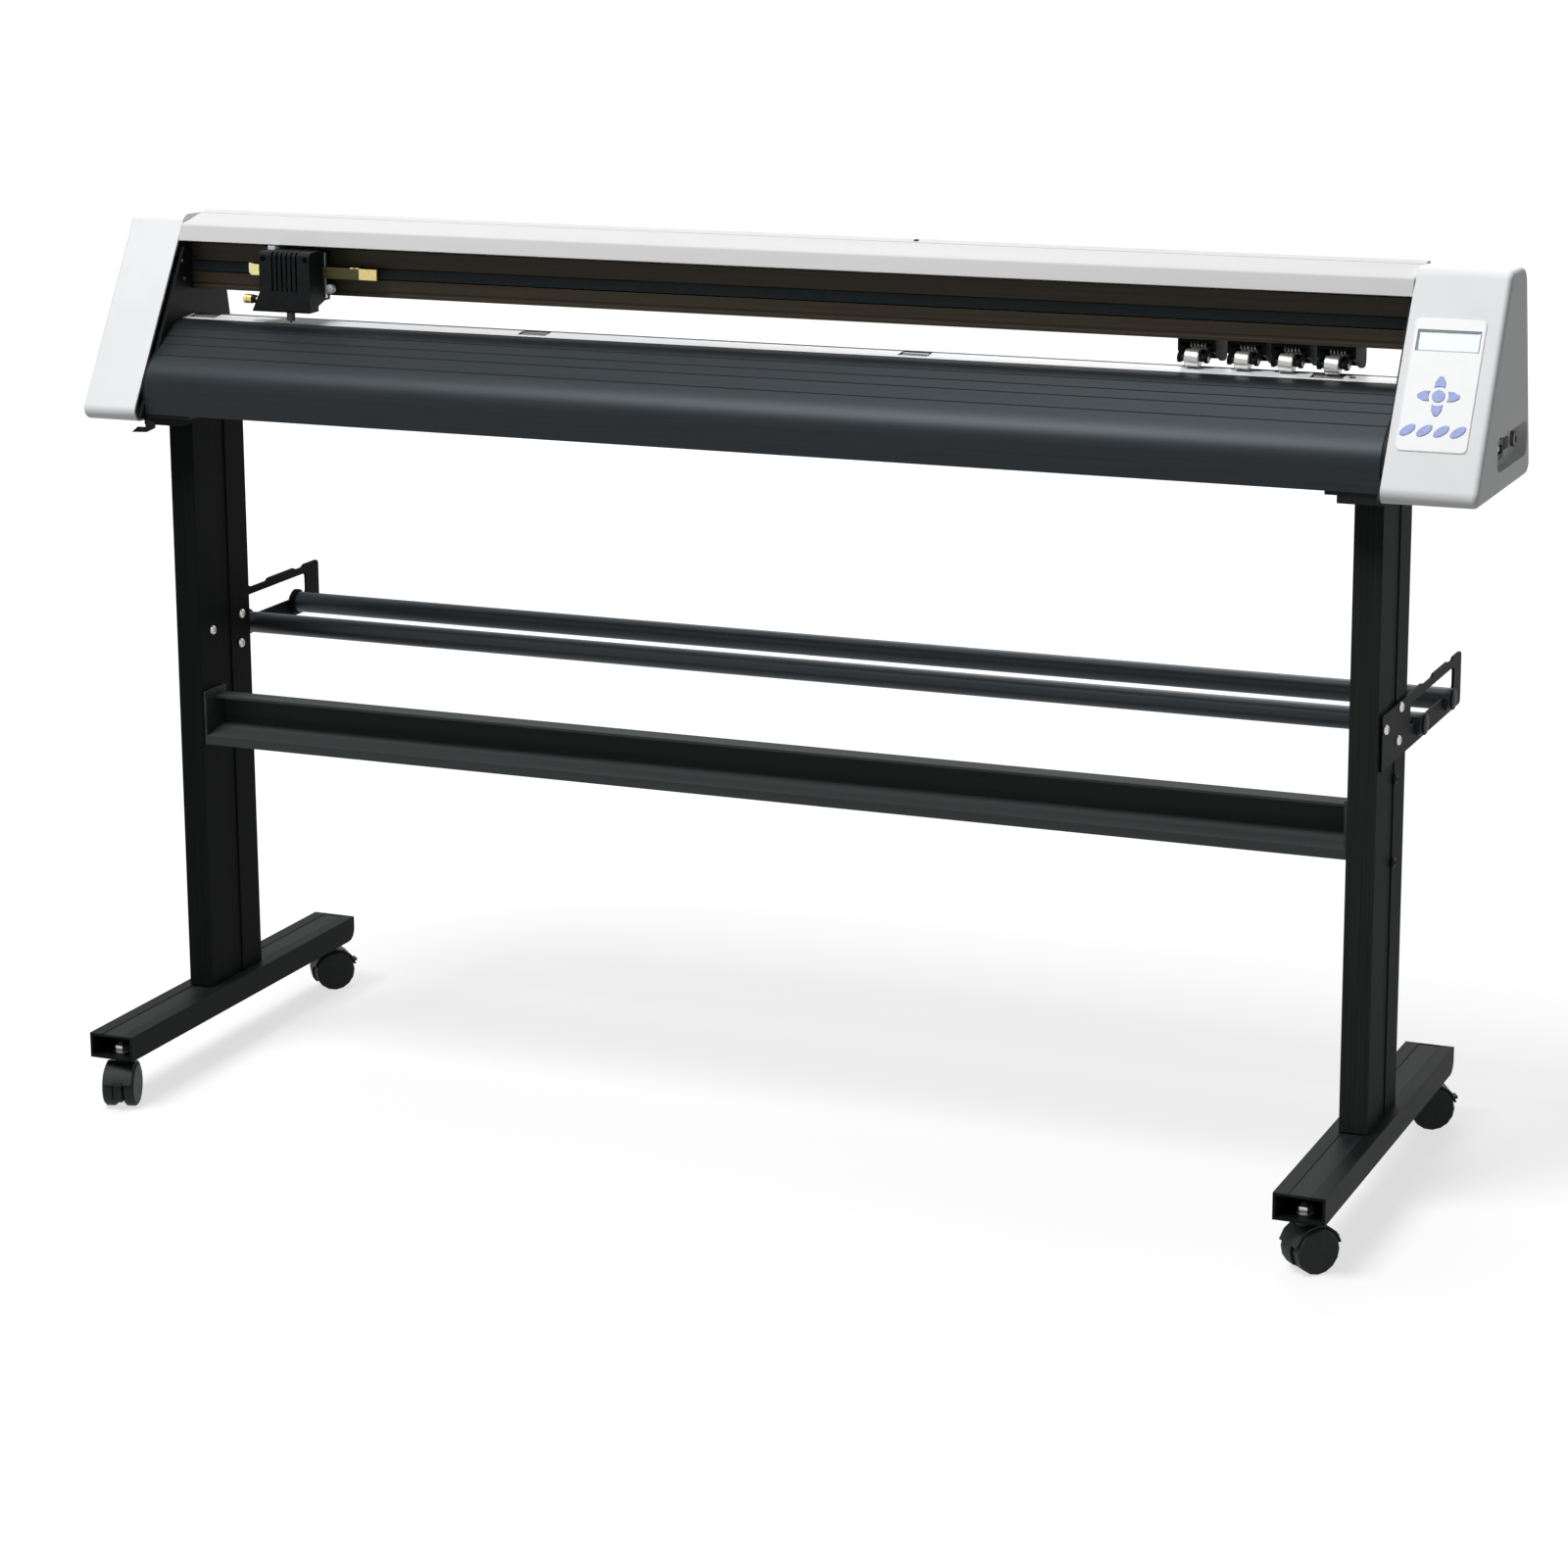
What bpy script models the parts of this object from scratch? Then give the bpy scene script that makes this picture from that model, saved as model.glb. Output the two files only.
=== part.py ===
"""A floor-standing vinyl cutter: a long cutting head with two end caps, on a stand with casters.

Metres, +Z up, +X towards the end with the control panel, +Y to the back of the machine.
The origin is on the floor, under the middle of the cutting head.
"""

import math

import bmesh
import bpy
from mathutils import Matrix, Vector

# Gaps between neighbours, and how round things are faceted
SEAT_GAP = 0.0003
PIVOT_GAP = 0.0003
ARC_STEP = math.radians(24)
ROUND_SIDES = 16
# A fillet takes at most this share of the shorter side at its corner
FILLET_SHARE = 0.49
# Corners closer than this to straight get no fillet, and edges sharper than the second stay sharp
NEARLY_STRAIGHT = math.radians(0.6)
SHARP_ANGLE = math.radians(30)
# How far a cutter reaches past what it cuts
PAST = 0.010

# Casters
CASTER_HEIGHT = 0.0603
WHEEL_DIAMETER = 0.050
WHEEL_WIDTH = 0.0135
CASTER_WEB = 0.009
CASTER_AXLE_DIAMETER = 0.006
CASTER_TRAIL = 0.007
WHEEL_SIDE_GAP = 0.0008
WHEEL_BEVEL = 0.002
CASTER_WEB_CLEARANCE = 0.010
HOOD_WALL = 0.0022
HOOD_SPREAD = math.radians(75)
HOOD_STEPS = 6
NECK_DIAMETER = 0.018
STEM_DIAMETER = 0.010
STEM_LENGTH = 0.016
CASTER_INSET = 0.0245
BRAKE_WIDTH = 0.012
BRAKE_REACH = 0.004
BRAKE_THICKNESS = 0.003
# Each caster's turn about its stem, from the wheels trailing to the back
CASTER_TURNS = {
    "left_front_caster": math.radians(198),
    "left_rear_caster": math.radians(-46),
    "right_front_caster": math.radians(-42),
    "right_rear_caster": math.radians(-61),
}

# Feet
FOOT_LENGTH = 0.542
FOOT_WIDTH = 0.056
FOOT_HEIGHT = 0.0294
FOOT_WALL = 0.003
FOOT_TRACK_WIDTH = 0.024
FOOT_TRACK_DEPTH = 0.0012
FOOT_HEEL_RADIUS = 0.018

# Uprights and the plates that bolt them to the head
UPRIGHT_LENGTH = 0.690
UPRIGHT_WIDTH = 0.0311
UPRIGHT_FRONT_Y = -0.0622
UPRIGHT_DEPTH = 0.1178
UPRIGHT_WALL = 0.0025
UPRIGHT_INSET = 0.0257
UPRIGHT_SLOT_WIDTH = 0.028
UPRIGHT_SLOT_DEPTH = 0.0015
HEAD_PLATE_THICKNESS = 0.008
HEAD_PLATE_LENGTH = 0.185
HEAD_PLATE_FRONT_Y = -0.104
HEAD_PLATE_OVERHANG = 0.008

# Cross beam between the uprights
CROSS_BEAM_Z = 0.3904
CROSS_BEAM_HEIGHT = 0.055
CROSS_BEAM_DEPTH = 0.048
CROSS_BEAM_FRONT_Y = -0.060
CROSS_BEAM_WALL = 0.003
CROSS_BEAM_DROP = 0.008
CROSS_BEAM_LIP = 0.0085
CROSS_BEAM_BROW = 0.026
CROSS_BEAM_END_HEIGHT = 0.064

# Media roll brackets and bars
BRACKET_THICKNESS = 0.003
BRACKET_FRONT_Y = -0.056
BRACKET_LENGTH = 0.341
BRACKET_Z = 0.488
BRACKET_HEIGHT = 0.060
BRACKET_STRUT = 0.032
BRACKET_WINDOW_Y = 0.060
BRACKET_LOWER_ARM = 0.022
BRACKET_UPPER_ARM = 0.0115
BRACKET_WAVE_DEPTH = 0.003
BRACKET_WAVE_LENGTH = 0.027
FRONT_WAVE_START = 0.110
FRONT_WAVE_END = 0.160
FRONT_BAR_Y = 0.0975
REAR_BAR_Y = 0.2225
BAR_DIAMETER = 0.0254
BAR_HEIGHT = 0.018
BAR_OVERHANG = 0.006
BAR_CHAMFER = 0.0010
BAR_WALL = 0.002

# End caps of the head: the side outline, measured from its front bottom corner
HEAD_LENGTH = 1.640
LEFT_CAP_WIDTH = 0.071
RIGHT_CAP_WIDTH = 0.100
CAP_FRONT_Y = -0.1284
CAP_HEIGHT = 0.2234
CAP_LEAN = 0.1358
CAP_TOP_DEPTH = 0.0660
CAP_BACK_LEAN = 0.042
CAP_TOP_DROP = 0.003
CAP_WALL = 0.0025
CAP_SKIRT = 0.004
CAP_WEB_DROP = 0.006
CAP_TOE_RADIUS = 0.012
CAP_BROW_RADIUS = 0.016
CAP_CROWN_RADIUS = 0.018
CAP_HEEL_RADIUS = 0.014
CAP_EDGE_RADIUS = 0.006
CAP_EDGE_STEPS = 3

# Side plates that carry the beam, the platen and the roller
PLATE_THICKNESS = 0.004
PLATE_SETBACK = 0.010
FLANGE_LENGTH = 0.058
FLANGE_THICKNESS = 0.004

# Rail beam
BEAM_FRONT_Y = 0.0135
BEAM_DEPTH = 0.0485
BEAM_Z = 0.1357
BEAM_HEIGHT = 0.054
BELT_SLOT_HEIGHT = 0.014
BELT_SLOT_Z = 0.020
BELT_CHANNEL_HEIGHT = 0.020
BELT_CHANNEL_DEPTH = 0.029
BELT_LIP = 0.0016
RAIL_LIP_WIDTH = 0.004
RAIL_LIP_DEPTH = 0.0012
T_SLOT_Y = 0.0335
T_SLOT_NECK = 0.007
T_SLOT_NECK_DEPTH = 0.004
T_SLOT_HEAD = 0.014
T_SLOT_HEAD_DEPTH = 0.005

# Top cover, measured from the lip's lower edge
COVER_LIP_Y = -0.009
COVER_LIP_Z = 0.1947
COVER_LIP_HEIGHT = 0.0183
COVER_LIP_LEAN = 0.007
COVER_TOP_DEPTH = 0.067
COVER_TOP_RISE = 0.0122
COVER_BACK_LEAN = 0.011
COVER_BACK_HEIGHT = 0.030
COVER_THICKNESS = 0.0022
COVER_CREASE_RADIUS = 0.004
COVER_CROWN_RADIUS = 0.010
COVER_RIB_WIDTH = 0.004
COVER_GROOVE_Y = 0.045
COVER_GROOVE_WIDTH = 0.0014
COVER_GROOVE_DEPTH = 0.0008

# Platen
PLATEN_FRONT_Y = -0.106
PLATEN_BACK_Y = 0.098
PLATEN_SHOULDER_Z = 0.0502
PLATEN_NOSE_RADIUS = 0.042
PLATEN_CREST_Y = -0.0321
PLATEN_CREST_Z = 0.1020
PLATEN_CREST_RADIUS = 0.030
PLATEN_STRIP_END_Y = 0.009
PLATEN_STRIP_END_Z = 0.1072
PLATEN_LEDGE = 0.0085
PLATEN_LEDGE_RADIUS = 0.006
PLATEN_BACK_SHOULDER_Z = 0.045
PLATEN_BACK_RADIUS = 0.020
PLATEN_WALL = 0.003
PLATEN_GROOVES = (-0.0403, -0.0515, -0.0627, -0.0782)
PLATEN_GROOVE_WIDTH = 0.0016
PLATEN_GROOVE_DEPTH = 0.0009

# Drive roller, its gears and its motor
ROLLER_Y = 0.005
ROLLER_SHAFT_DIAMETER = 0.012
DRUM_DIAMETER = 0.022
DRUM_LENGTH = 0.030
LEFT_DRUM_INSET = 0.0227
RIGHT_DRUM_INSET = 0.0857
DRUM_PITCH = 0.461
DRUM_STAND = 0.0004
WINDOW_GAP = 0.0012
JOURNAL_DIAMETER = 0.010
GEAR_MODULE = 0.0015
GEAR_TEETH = 24
PINION_TEETH = 14
PRESSURE_ANGLE = math.radians(20)
GEAR_ADDENDUM = 0.0012
GEAR_DEDENDUM = 0.0016
GEAR_BACKLASH = 0.00015
GEAR_WIDTH = 0.008
GEAR_PLAY = 0.0002
GEAR_GAP = 0.001
ROLLER_MOTOR_SIDE = 0.057
ROLLER_MOTOR_LENGTH = 0.050
ROLLER_MOTOR_POST = 0.006
ROLLER_MOTOR_POST_INSET = 0.0054
POST_SIDES = 10
MOTOR_SHAFT_DIAMETER = 0.0064
MOTOR_SHAFT_DEPTH = 0.010
MOTOR_FACE_GAP = 0.002

# Belt, pulleys and the carriage motor
BELT_WIDTH = 0.012
BELT_THICKNESS = 0.0014
BELT_FRONT_SETBACK = 0.0020
BELT_STEPS = 10
PULLEY_DIAMETER = 0.021
PULLEY_FLANGE = 0.0018
PULLEY_FLANGE_THICKNESS = 0.001
PULLEY_INSET = 0.022
PULLEY_AXLE_DIAMETER = 0.005
CARRIAGE_MOTOR_SIDE = 0.042
CARRIAGE_MOTOR_LENGTH = 0.036
CARRIAGE_MOTOR_BRACKET = 0.005
IDLER_SHELF_THICKNESS = 0.004
IDLER_SHELF_WIDTH = 0.020

# Carriage: the plate on the beam, its cover, the blade holder and the clamp screw
CARRIAGE_INSET = 0.1507
CARRIAGE_WIDTH = 0.066
CARRIAGE_FRONT_Y = -0.035
CARRIAGE_BACK_Y = 0.0005
CARRIAGE_Z = 0.1197
CARRIAGE_HEIGHT = 0.070
CARRIAGE_BACK_LIFT = 0.0115
CARRIAGE_WALL = 0.002
CARRIAGE_BROW_RADIUS = 0.006
CARRIAGE_VENTS = 6
VENT_PITCH = 0.0063
VENT_WIDTH = 0.0022
VENT_LENGTH = 0.046
VENT_REACH = 0.008
CLAMP_BAR_LENGTH = 0.1675
CLAMP_BAR_OFFSET = 0.01975
CLAMP_BAR_HEIGHT = 0.012
CLAMP_BAR_DEPTH = 0.009
CLAMP_BAR_RISE = 0.001
TONGUE_LENGTH = 0.020
TOOL_BLOCK_HEIGHT = 0.025
TOOL_BLOCK_DEPTH = 0.022
TOOL_BLOCK_FLARE = 0.012
HOLDER_DIAMETER = 0.010
HOLDER_LENGTH = 0.052
HOLDER_TIP_LENGTH = 0.003
HOLDER_TIP_DIAMETER = 0.003
HOLDER_COLLAR_DIAMETER = 0.014
HOLDER_COLLAR_HEIGHT = 0.006
BLADE_TRAVEL = 0.002
BLADE_CLEARANCE = 0.001
CLAMP_SCREW_DIAMETER = 0.005
CLAMP_HEAD_DIAMETER = 0.011
CLAMP_HEAD_LENGTH = 0.006
CLAMP_NECK = 0.005

# Pinch units that slide in the T slot under the beam
PINCH_INSETS = (0.2333, 0.1786, 0.1308, 0.0814)
PINCH_WIDTH = 0.042
PINCH_CHEEK = 0.004
PINCH_TOP = 0.004
PINCH_FRONT_Y = 0.017
PINCH_BACK_Y = 0.060
PINCH_CHEEK_DROP = 0.017
PINCH_LOBE_DROP = 0.027
PINCH_LOBE_RADIUS = 0.007
PINCH_ROLLER_DIAMETER = 0.020
PINCH_ROLLER_WIDTH = 0.016
PINCH_ROLLER_BEVEL = 0.001
PINCH_AXLE_DIAMETER = 0.005
PINCH_ARM_THICKNESS = 0.004
PINCH_PIVOT_Y = 0.0255
PINCH_PIVOT_DROP = 0.0085
PINCH_PIVOT_DIAMETER = 0.0024
PINCH_PIVOT_EYE = 0.0035
PINCH_WEB = 0.003
PINCH_WEB_GAP = 0.0015
PIN_SIDES = 8
LINK_STEPS = 4
SPRING_WIRE = 0.0012
SPRING_DIAMETER = 0.0060
SPRING_CURLS = 5
SPRING_POINTS = 8
SPRING_LENGTH = 0.019
SPRING_LEG = 0.012
WELD = 0.00001

# Control panel on the sloping front of the right cap, measured along the slope from its foot
OVERLAY_WIDTH = 0.0725
OVERLAY_OFFSET = -0.0047
OVERLAY_FOOT = 0.0585
OVERLAY_LENGTH = 0.1455
OVERLAY_THICKNESS = 0.0008
OVERLAY_RADIUS = 0.005
SCREEN_WIDTH = 0.0657
SCREEN_FOOT = 0.1685
SCREEN_LENGTH = 0.0233
SCREEN_RECESS = 0.0012
SCREEN_DEPTH = 0.006
PAD_FOOT = 0.1189
PAD_OFFSET = -0.0057
PAD_BUTTON_RADIUS = 0.0066
PAD_RING_RADIUS = 0.0108
PETAL_LENGTH = 0.0110
PETAL_HALF_ANGLE = math.radians(30)
PETAL_WAIST = 0.62
PETAL_TIP = 0.14
OVAL_SIDES = 14
FUNCTION_FOOT = 0.0806
FUNCTION_KEYS = 4
FUNCTION_PITCH = 0.0174
FUNCTION_OFFSET = -0.0057
FUNCTION_LONG_RADIUS = 0.0090
FUNCTION_SHORT_RADIUS = 0.0044
FUNCTION_TURN = math.radians(38)
# A key stands this proud of the sheet when pressed right in, and travels this far
KEY_PROUD = 0.0003
KEY_TRAVEL = 0.0005
KEY_TAIL = 0.0012

# Socket recess in the side of the right cap, with the board and the switch behind it
RECESS_FRONT_Y = -0.037
RECESS_LENGTH = 0.131
RECESS_Z = 0.0197
RECESS_HEIGHT = 0.037
RECESS_DEPTH = 0.012
RECESS_RADIUS = 0.012
RECESS_FLOOR = 0.0025
SOCKET_Y = 0.005
SOCKET_STAND = 0.004
SOCKET_WIDTH = 0.030
SOCKET_HEIGHT = 0.020
SOCKET_HOLE_WIDTH = 0.018
SOCKET_HOLE_HEIGHT = 0.010
SWITCH_Y = 0.045
SWITCH_LENGTH = 0.020
SWITCH_HEIGHT = 0.012
SWITCH_DEPTH = 0.003
SWITCH_END_GAP = 0.001
PORT_Y = 0.076
PORT_DIAMETER = 0.016
BOARD_THICKNESS = 0.0016
BOARD_GAP = 0.010
BOARD_HEIGHT = 0.080
TRANSFORMER_SIDE = 0.030

# Places that follow from the sizes
foot_top = CASTER_HEIGHT + FOOT_HEIGHT
rear_caster_y = FOOT_LENGTH / 2 - CASTER_INSET
front_caster_y = -rear_caster_y
upright_bottom = foot_top + SEAT_GAP
plate_top = upright_bottom + UPRIGHT_LENGTH + HEAD_PLATE_THICKNESS
head_bottom = plate_top + SEAT_GAP
head_left = -HEAD_LENGTH / 2
head_right = HEAD_LENGTH / 2
left_cap_inner = head_left + LEFT_CAP_WIDTH
right_cap_inner = head_right - RIGHT_CAP_WIDTH
left_plate_outer = left_cap_inner + SEAT_GAP
right_plate_outer = right_cap_inner - SEAT_GAP
left_plate_inner = left_plate_outer + PLATE_THICKNESS
right_plate_inner = right_plate_outer - PLATE_THICKNESS
span_left = left_plate_inner + SEAT_GAP
span_right = right_plate_inner - SEAT_GAP
left_stand_x = left_cap_inner + UPRIGHT_INSET
right_stand_x = right_cap_inner - UPRIGHT_INSET
upright_back_y = UPRIGHT_FRONT_Y + UPRIGHT_DEPTH
beam_bottom = head_bottom + BEAM_Z
belt_z = beam_bottom + BELT_SLOT_Z + BELT_SLOT_HEIGHT / 2
t_slot_y = BEAM_FRONT_Y + T_SLOT_Y
belt_half_depth = PULLEY_DIAMETER / 2 + SEAT_GAP + BELT_THICKNESS
pulley_y = BEAM_FRONT_Y + BELT_FRONT_SETBACK + belt_half_depth
pulley_half = BELT_WIDTH / 2 + SEAT_GAP + PULLEY_FLANGE_THICKNESS
idler_x = left_plate_outer - PULLEY_INSET
drive_x = right_plate_outer + CARRIAGE_MOTOR_BRACKET + CARRIAGE_MOTOR_SIDE / 2
carriage_x = left_plate_inner + CARRIAGE_INSET
right_drum = right_plate_inner - RIGHT_DRUM_INSET
drum_places = [left_plate_inner + LEFT_DRUM_INSET] + [right_drum - DRUM_PITCH * i for i in (2, 1, 0)]
pinch_places = [right_plate_inner - distance for distance in PINCH_INSETS]
cover_crease_z = head_bottom + COVER_LIP_Z + COVER_LIP_HEIGHT
strip_slope = (PLATEN_STRIP_END_Z - PLATEN_CREST_Z) / (PLATEN_STRIP_END_Y + PLATEN_LEDGE - PLATEN_CREST_Y)
strip_z = head_bottom + PLATEN_CREST_Z + strip_slope * (ROLLER_Y - PLATEN_CREST_Y)
roller_z = strip_z + DRUM_STAND - DRUM_DIAMETER / 2
roller_motor_z = roller_z - GEAR_MODULE * (GEAR_TEETH + PINION_TEETH) / 2 - GEAR_PLAY
pinch_roller_z = roller_z + DRUM_DIAMETER / 2 + SEAT_GAP + PINCH_ROLLER_DIAMETER / 2
pinch_pivot_z = beam_bottom - PINCH_PIVOT_DROP
pinch_ceiling = beam_bottom - SEAT_GAP - PINCH_TOP
pinch_arm_outer = PINCH_WIDTH / 2 - PINCH_CHEEK - SEAT_GAP
recess_z = head_bottom + RECESS_Z + RECESS_HEIGHT / 2
bar_z = BRACKET_Z + BAR_HEIGHT
left_bracket_outer = left_stand_x - UPRIGHT_WIDTH / 2 - SEAT_GAP - BRACKET_THICKNESS
right_bracket_outer = right_stand_x + UPRIGHT_WIDTH / 2 + SEAT_GAP + BRACKET_THICKNESS


def clear_scene():
    for obj in list(bpy.data.objects):
        bpy.data.objects.remove(obj)


def material(name, colour, roughness, metallic):
    made = bpy.data.materials.new(name)
    made.use_nodes = True
    made.diffuse_color = (*colour, 1)
    shader = made.node_tree.nodes["Principled BSDF"]
    shader.inputs["Base Color"].default_value = (*colour, 1)
    shader.inputs["Roughness"].default_value = roughness
    shader.inputs["Metallic"].default_value = metallic
    return made


def object_of(bm):
    """A new object with this bmesh as its mesh, its faces pointing out."""
    bmesh.ops.recalc_face_normals(bm, faces=bm.faces)
    mesh = bpy.data.meshes.new("solid")
    bm.to_mesh(mesh)
    bm.free()
    obj = bpy.data.objects.new("solid", mesh)
    bpy.context.scene.collection.objects.link(obj)
    return obj


def along(axis, a, b, distance):
    """The point at this distance along an axis, with a and b on the other two axes in X, Y, Z order."""
    return {"X": (distance, a, b), "Y": (a, distance, b), "Z": (a, b, distance)}[axis]


def loft(axis, sections):
    """A solid through closed outlines of equal count, each given as (distance along the axis, points)."""
    bm = bmesh.new()
    rings = []
    for distance, points in sections:
        rings.append([bm.verts.new(along(axis, a, b, distance)) for a, b in points])
    bm.faces.new(rings[0])
    bm.faces.new(rings[-1])
    for low, high in zip(rings, rings[1:]):
        for i in range(len(low)):
            bm.faces.new((low[i - 1], low[i], high[i], high[i - 1]))
    return object_of(bm)


def prism(axis, outline, low, high):
    return loft(axis, ((low, outline), (high, outline)))


def box(x0, x1, y0, y1, z0, z1):
    return prism("X", ((y0, z0), (y1, z0), (y1, z1), (y0, z1)), x0, x1)


def circle(a, b, radius, sides=ROUND_SIDES):
    turns = [2 * math.pi * i / sides for i in range(sides)]
    return [(a + radius * math.cos(t), b + radius * math.sin(t)) for t in turns]


def cylinder(axis, a, b, diameter, low, high, sides=ROUND_SIDES):
    return prism(axis, circle(a, b, diameter / 2, sides), low, high)


def hole(axis, a, b, diameter, gap, low, high, sides=ROUND_SIDES):
    """A cutter for a round hole whose flats clear a pin of this diameter by the gap."""
    return cylinder(axis, a, b, (diameter + 2 * gap) / math.cos(math.pi / sides), low, high, sides)


def turned(axis, a, b, profile, sides=ROUND_SIDES):
    """A turned solid about an axis through (a, b), from (distance, radius) pairs."""
    return loft(axis, [(distance, circle(a, b, radius, sides)) for distance, radius in profile])


def arc_at(before, corner, after, radius):
    """The points of a fillet of this radius at a corner, limited by the corner's shorter side."""
    corner = Vector(corner)
    to_before = Vector(before) - corner
    to_after = Vector(after) - corner
    angle = to_before.angle(to_after)
    if radius <= 0 or angle > math.pi - NEARLY_STRAIGHT:
        return [tuple(corner)]
    shorter = min(to_before.length, to_after.length)
    reach = min(radius / math.tan(angle / 2), FILLET_SHARE * shorter)
    radius = reach * math.tan(angle / 2)
    middle = corner + (to_before.normalized() + to_after.normalized()).normalized() * (
        radius / math.sin(angle / 2)
    )
    first = corner + to_before.normalized() * reach - middle
    swing = first.angle_signed(corner + to_after.normalized() * reach - middle)
    steps = max(1, math.ceil(abs(swing) / ARC_STEP))
    points = []
    for i in range(steps + 1):
        turn = Matrix.Rotation(-swing * i / steps, 2)
        points.append(tuple(middle + turn @ first))
    return points


def rounded(corners):
    """A closed outline from (a, b, fillet radius) corners."""
    points = []
    for i, (a, b, radius) in enumerate(corners):
        after = corners[(i + 1) % len(corners)]
        points += arc_at(corners[i - 1][:2], (a, b), after[:2], radius)
    return points


def rounded_path(corners):
    """An open path from (a, b, fillet radius) corners."""
    points = [corners[0][:2]]
    for before, (a, b, radius), after in zip(corners, corners[1:], corners[2:]):
        points += arc_at(before[:2], (a, b), after[:2], radius)
    return points + [corners[-1][:2]]


def shifted(points, distance, closed):
    """The points moved to the left of their path by a distance, with mitred corners."""
    moved = []
    count = len(points)
    for i in range(count):
        sides = []
        if closed or i > 0:
            sides.append(Vector(points[i]) - Vector(points[i - 1]))
        if closed or i < count - 1:
            sides.append(Vector(points[(i + 1) % count]) - Vector(points[i]))
        normals = [Vector((-side.y, side.x)).normalized() for side in sides]
        mean = sum(normals, Vector((0, 0))).normalized()
        moved.append(tuple(Vector(points[i]) + mean * (distance / mean.dot(normals[0]))))
    return moved


def inset(corners, distance):
    """Corners of a closed anticlockwise outline moved inwards, with fillets that keep their centres."""
    inner = shifted([corner[:2] for corner in corners], distance, True)
    return [(a, b, max(0, corner[2] - distance)) for (a, b), corner in zip(inner, corners)]


def wall(path, thickness):
    """The closed outline of a wall of even thickness on the left of a path."""
    return list(path) + shifted(path, thickness, False)[::-1]


def boolean(base, operation, others):
    """The base with each of the others joined to it or cut from it, which uses the others up."""
    for other in others:
        step = base.modifiers.new(operation, "BOOLEAN")
        step.operation = operation
        step.solver = "EXACT"
        step.object = other
    graph = bpy.context.evaluated_depsgraph_get()
    result = bpy.data.meshes.new_from_object(base.evaluated_get(graph))
    base.modifiers.clear()
    base.data = result
    for other in others:
        bpy.data.objects.remove(other)
    return base


def join(base, *others):
    return boolean(base, "UNION", others)


def cut(base, *others):
    return boolean(base, "DIFFERENCE", others)


def piece(name, obj, finish, origin=(0, 0, 0)):
    """Names a finished solid, gives it its material and puts its origin where it turns or slides."""
    obj.data.transform(Matrix.Translation(-Vector(origin)))
    obj.location = origin
    obj.name = name
    obj.data.name = name
    obj.data.materials.clear()
    obj.data.materials.append(finish)
    obj.data.shade_smooth()
    obj.data.set_sharp_from_angle(angle=SHARP_ANGLE)
    return obj


def make_foot(name, x):
    half = FOOT_LENGTH / 2
    bottom = CASTER_HEIGHT
    corners = (
        (-half, bottom, 0),
        (half, bottom, FOOT_HEEL_RADIUS),
        (half, foot_top, 0),
        (-half, foot_top, 0),
    )
    body = prism("X", rounded(corners), x - FOOT_WIDTH / 2, x + FOOT_WIDTH / 2)
    open_front = [(a - PAST if a < 0 else a, b, radius) for a, b, radius in corners]
    inner = FOOT_WIDTH / 2 - FOOT_WALL
    hollow = prism("X", rounded(inset(open_front, FOOT_WALL)), x - inner, x + inner)
    track = FOOT_TRACK_WIDTH / 2
    track_floor = foot_top - FOOT_TRACK_DEPTH
    groove = box(x - track, x + track, -half - PAST, half - FOOT_WALL, track_floor, foot_top + PAST)
    holes = []
    for y in (front_caster_y, rear_caster_y):
        holes.append(hole("Z", x, y, STEM_DIAMETER, PIVOT_GAP, bottom - PAST, bottom + STEM_LENGTH))
    return piece(name, cut(body, hollow, groove, *holes), black_paint)


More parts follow.
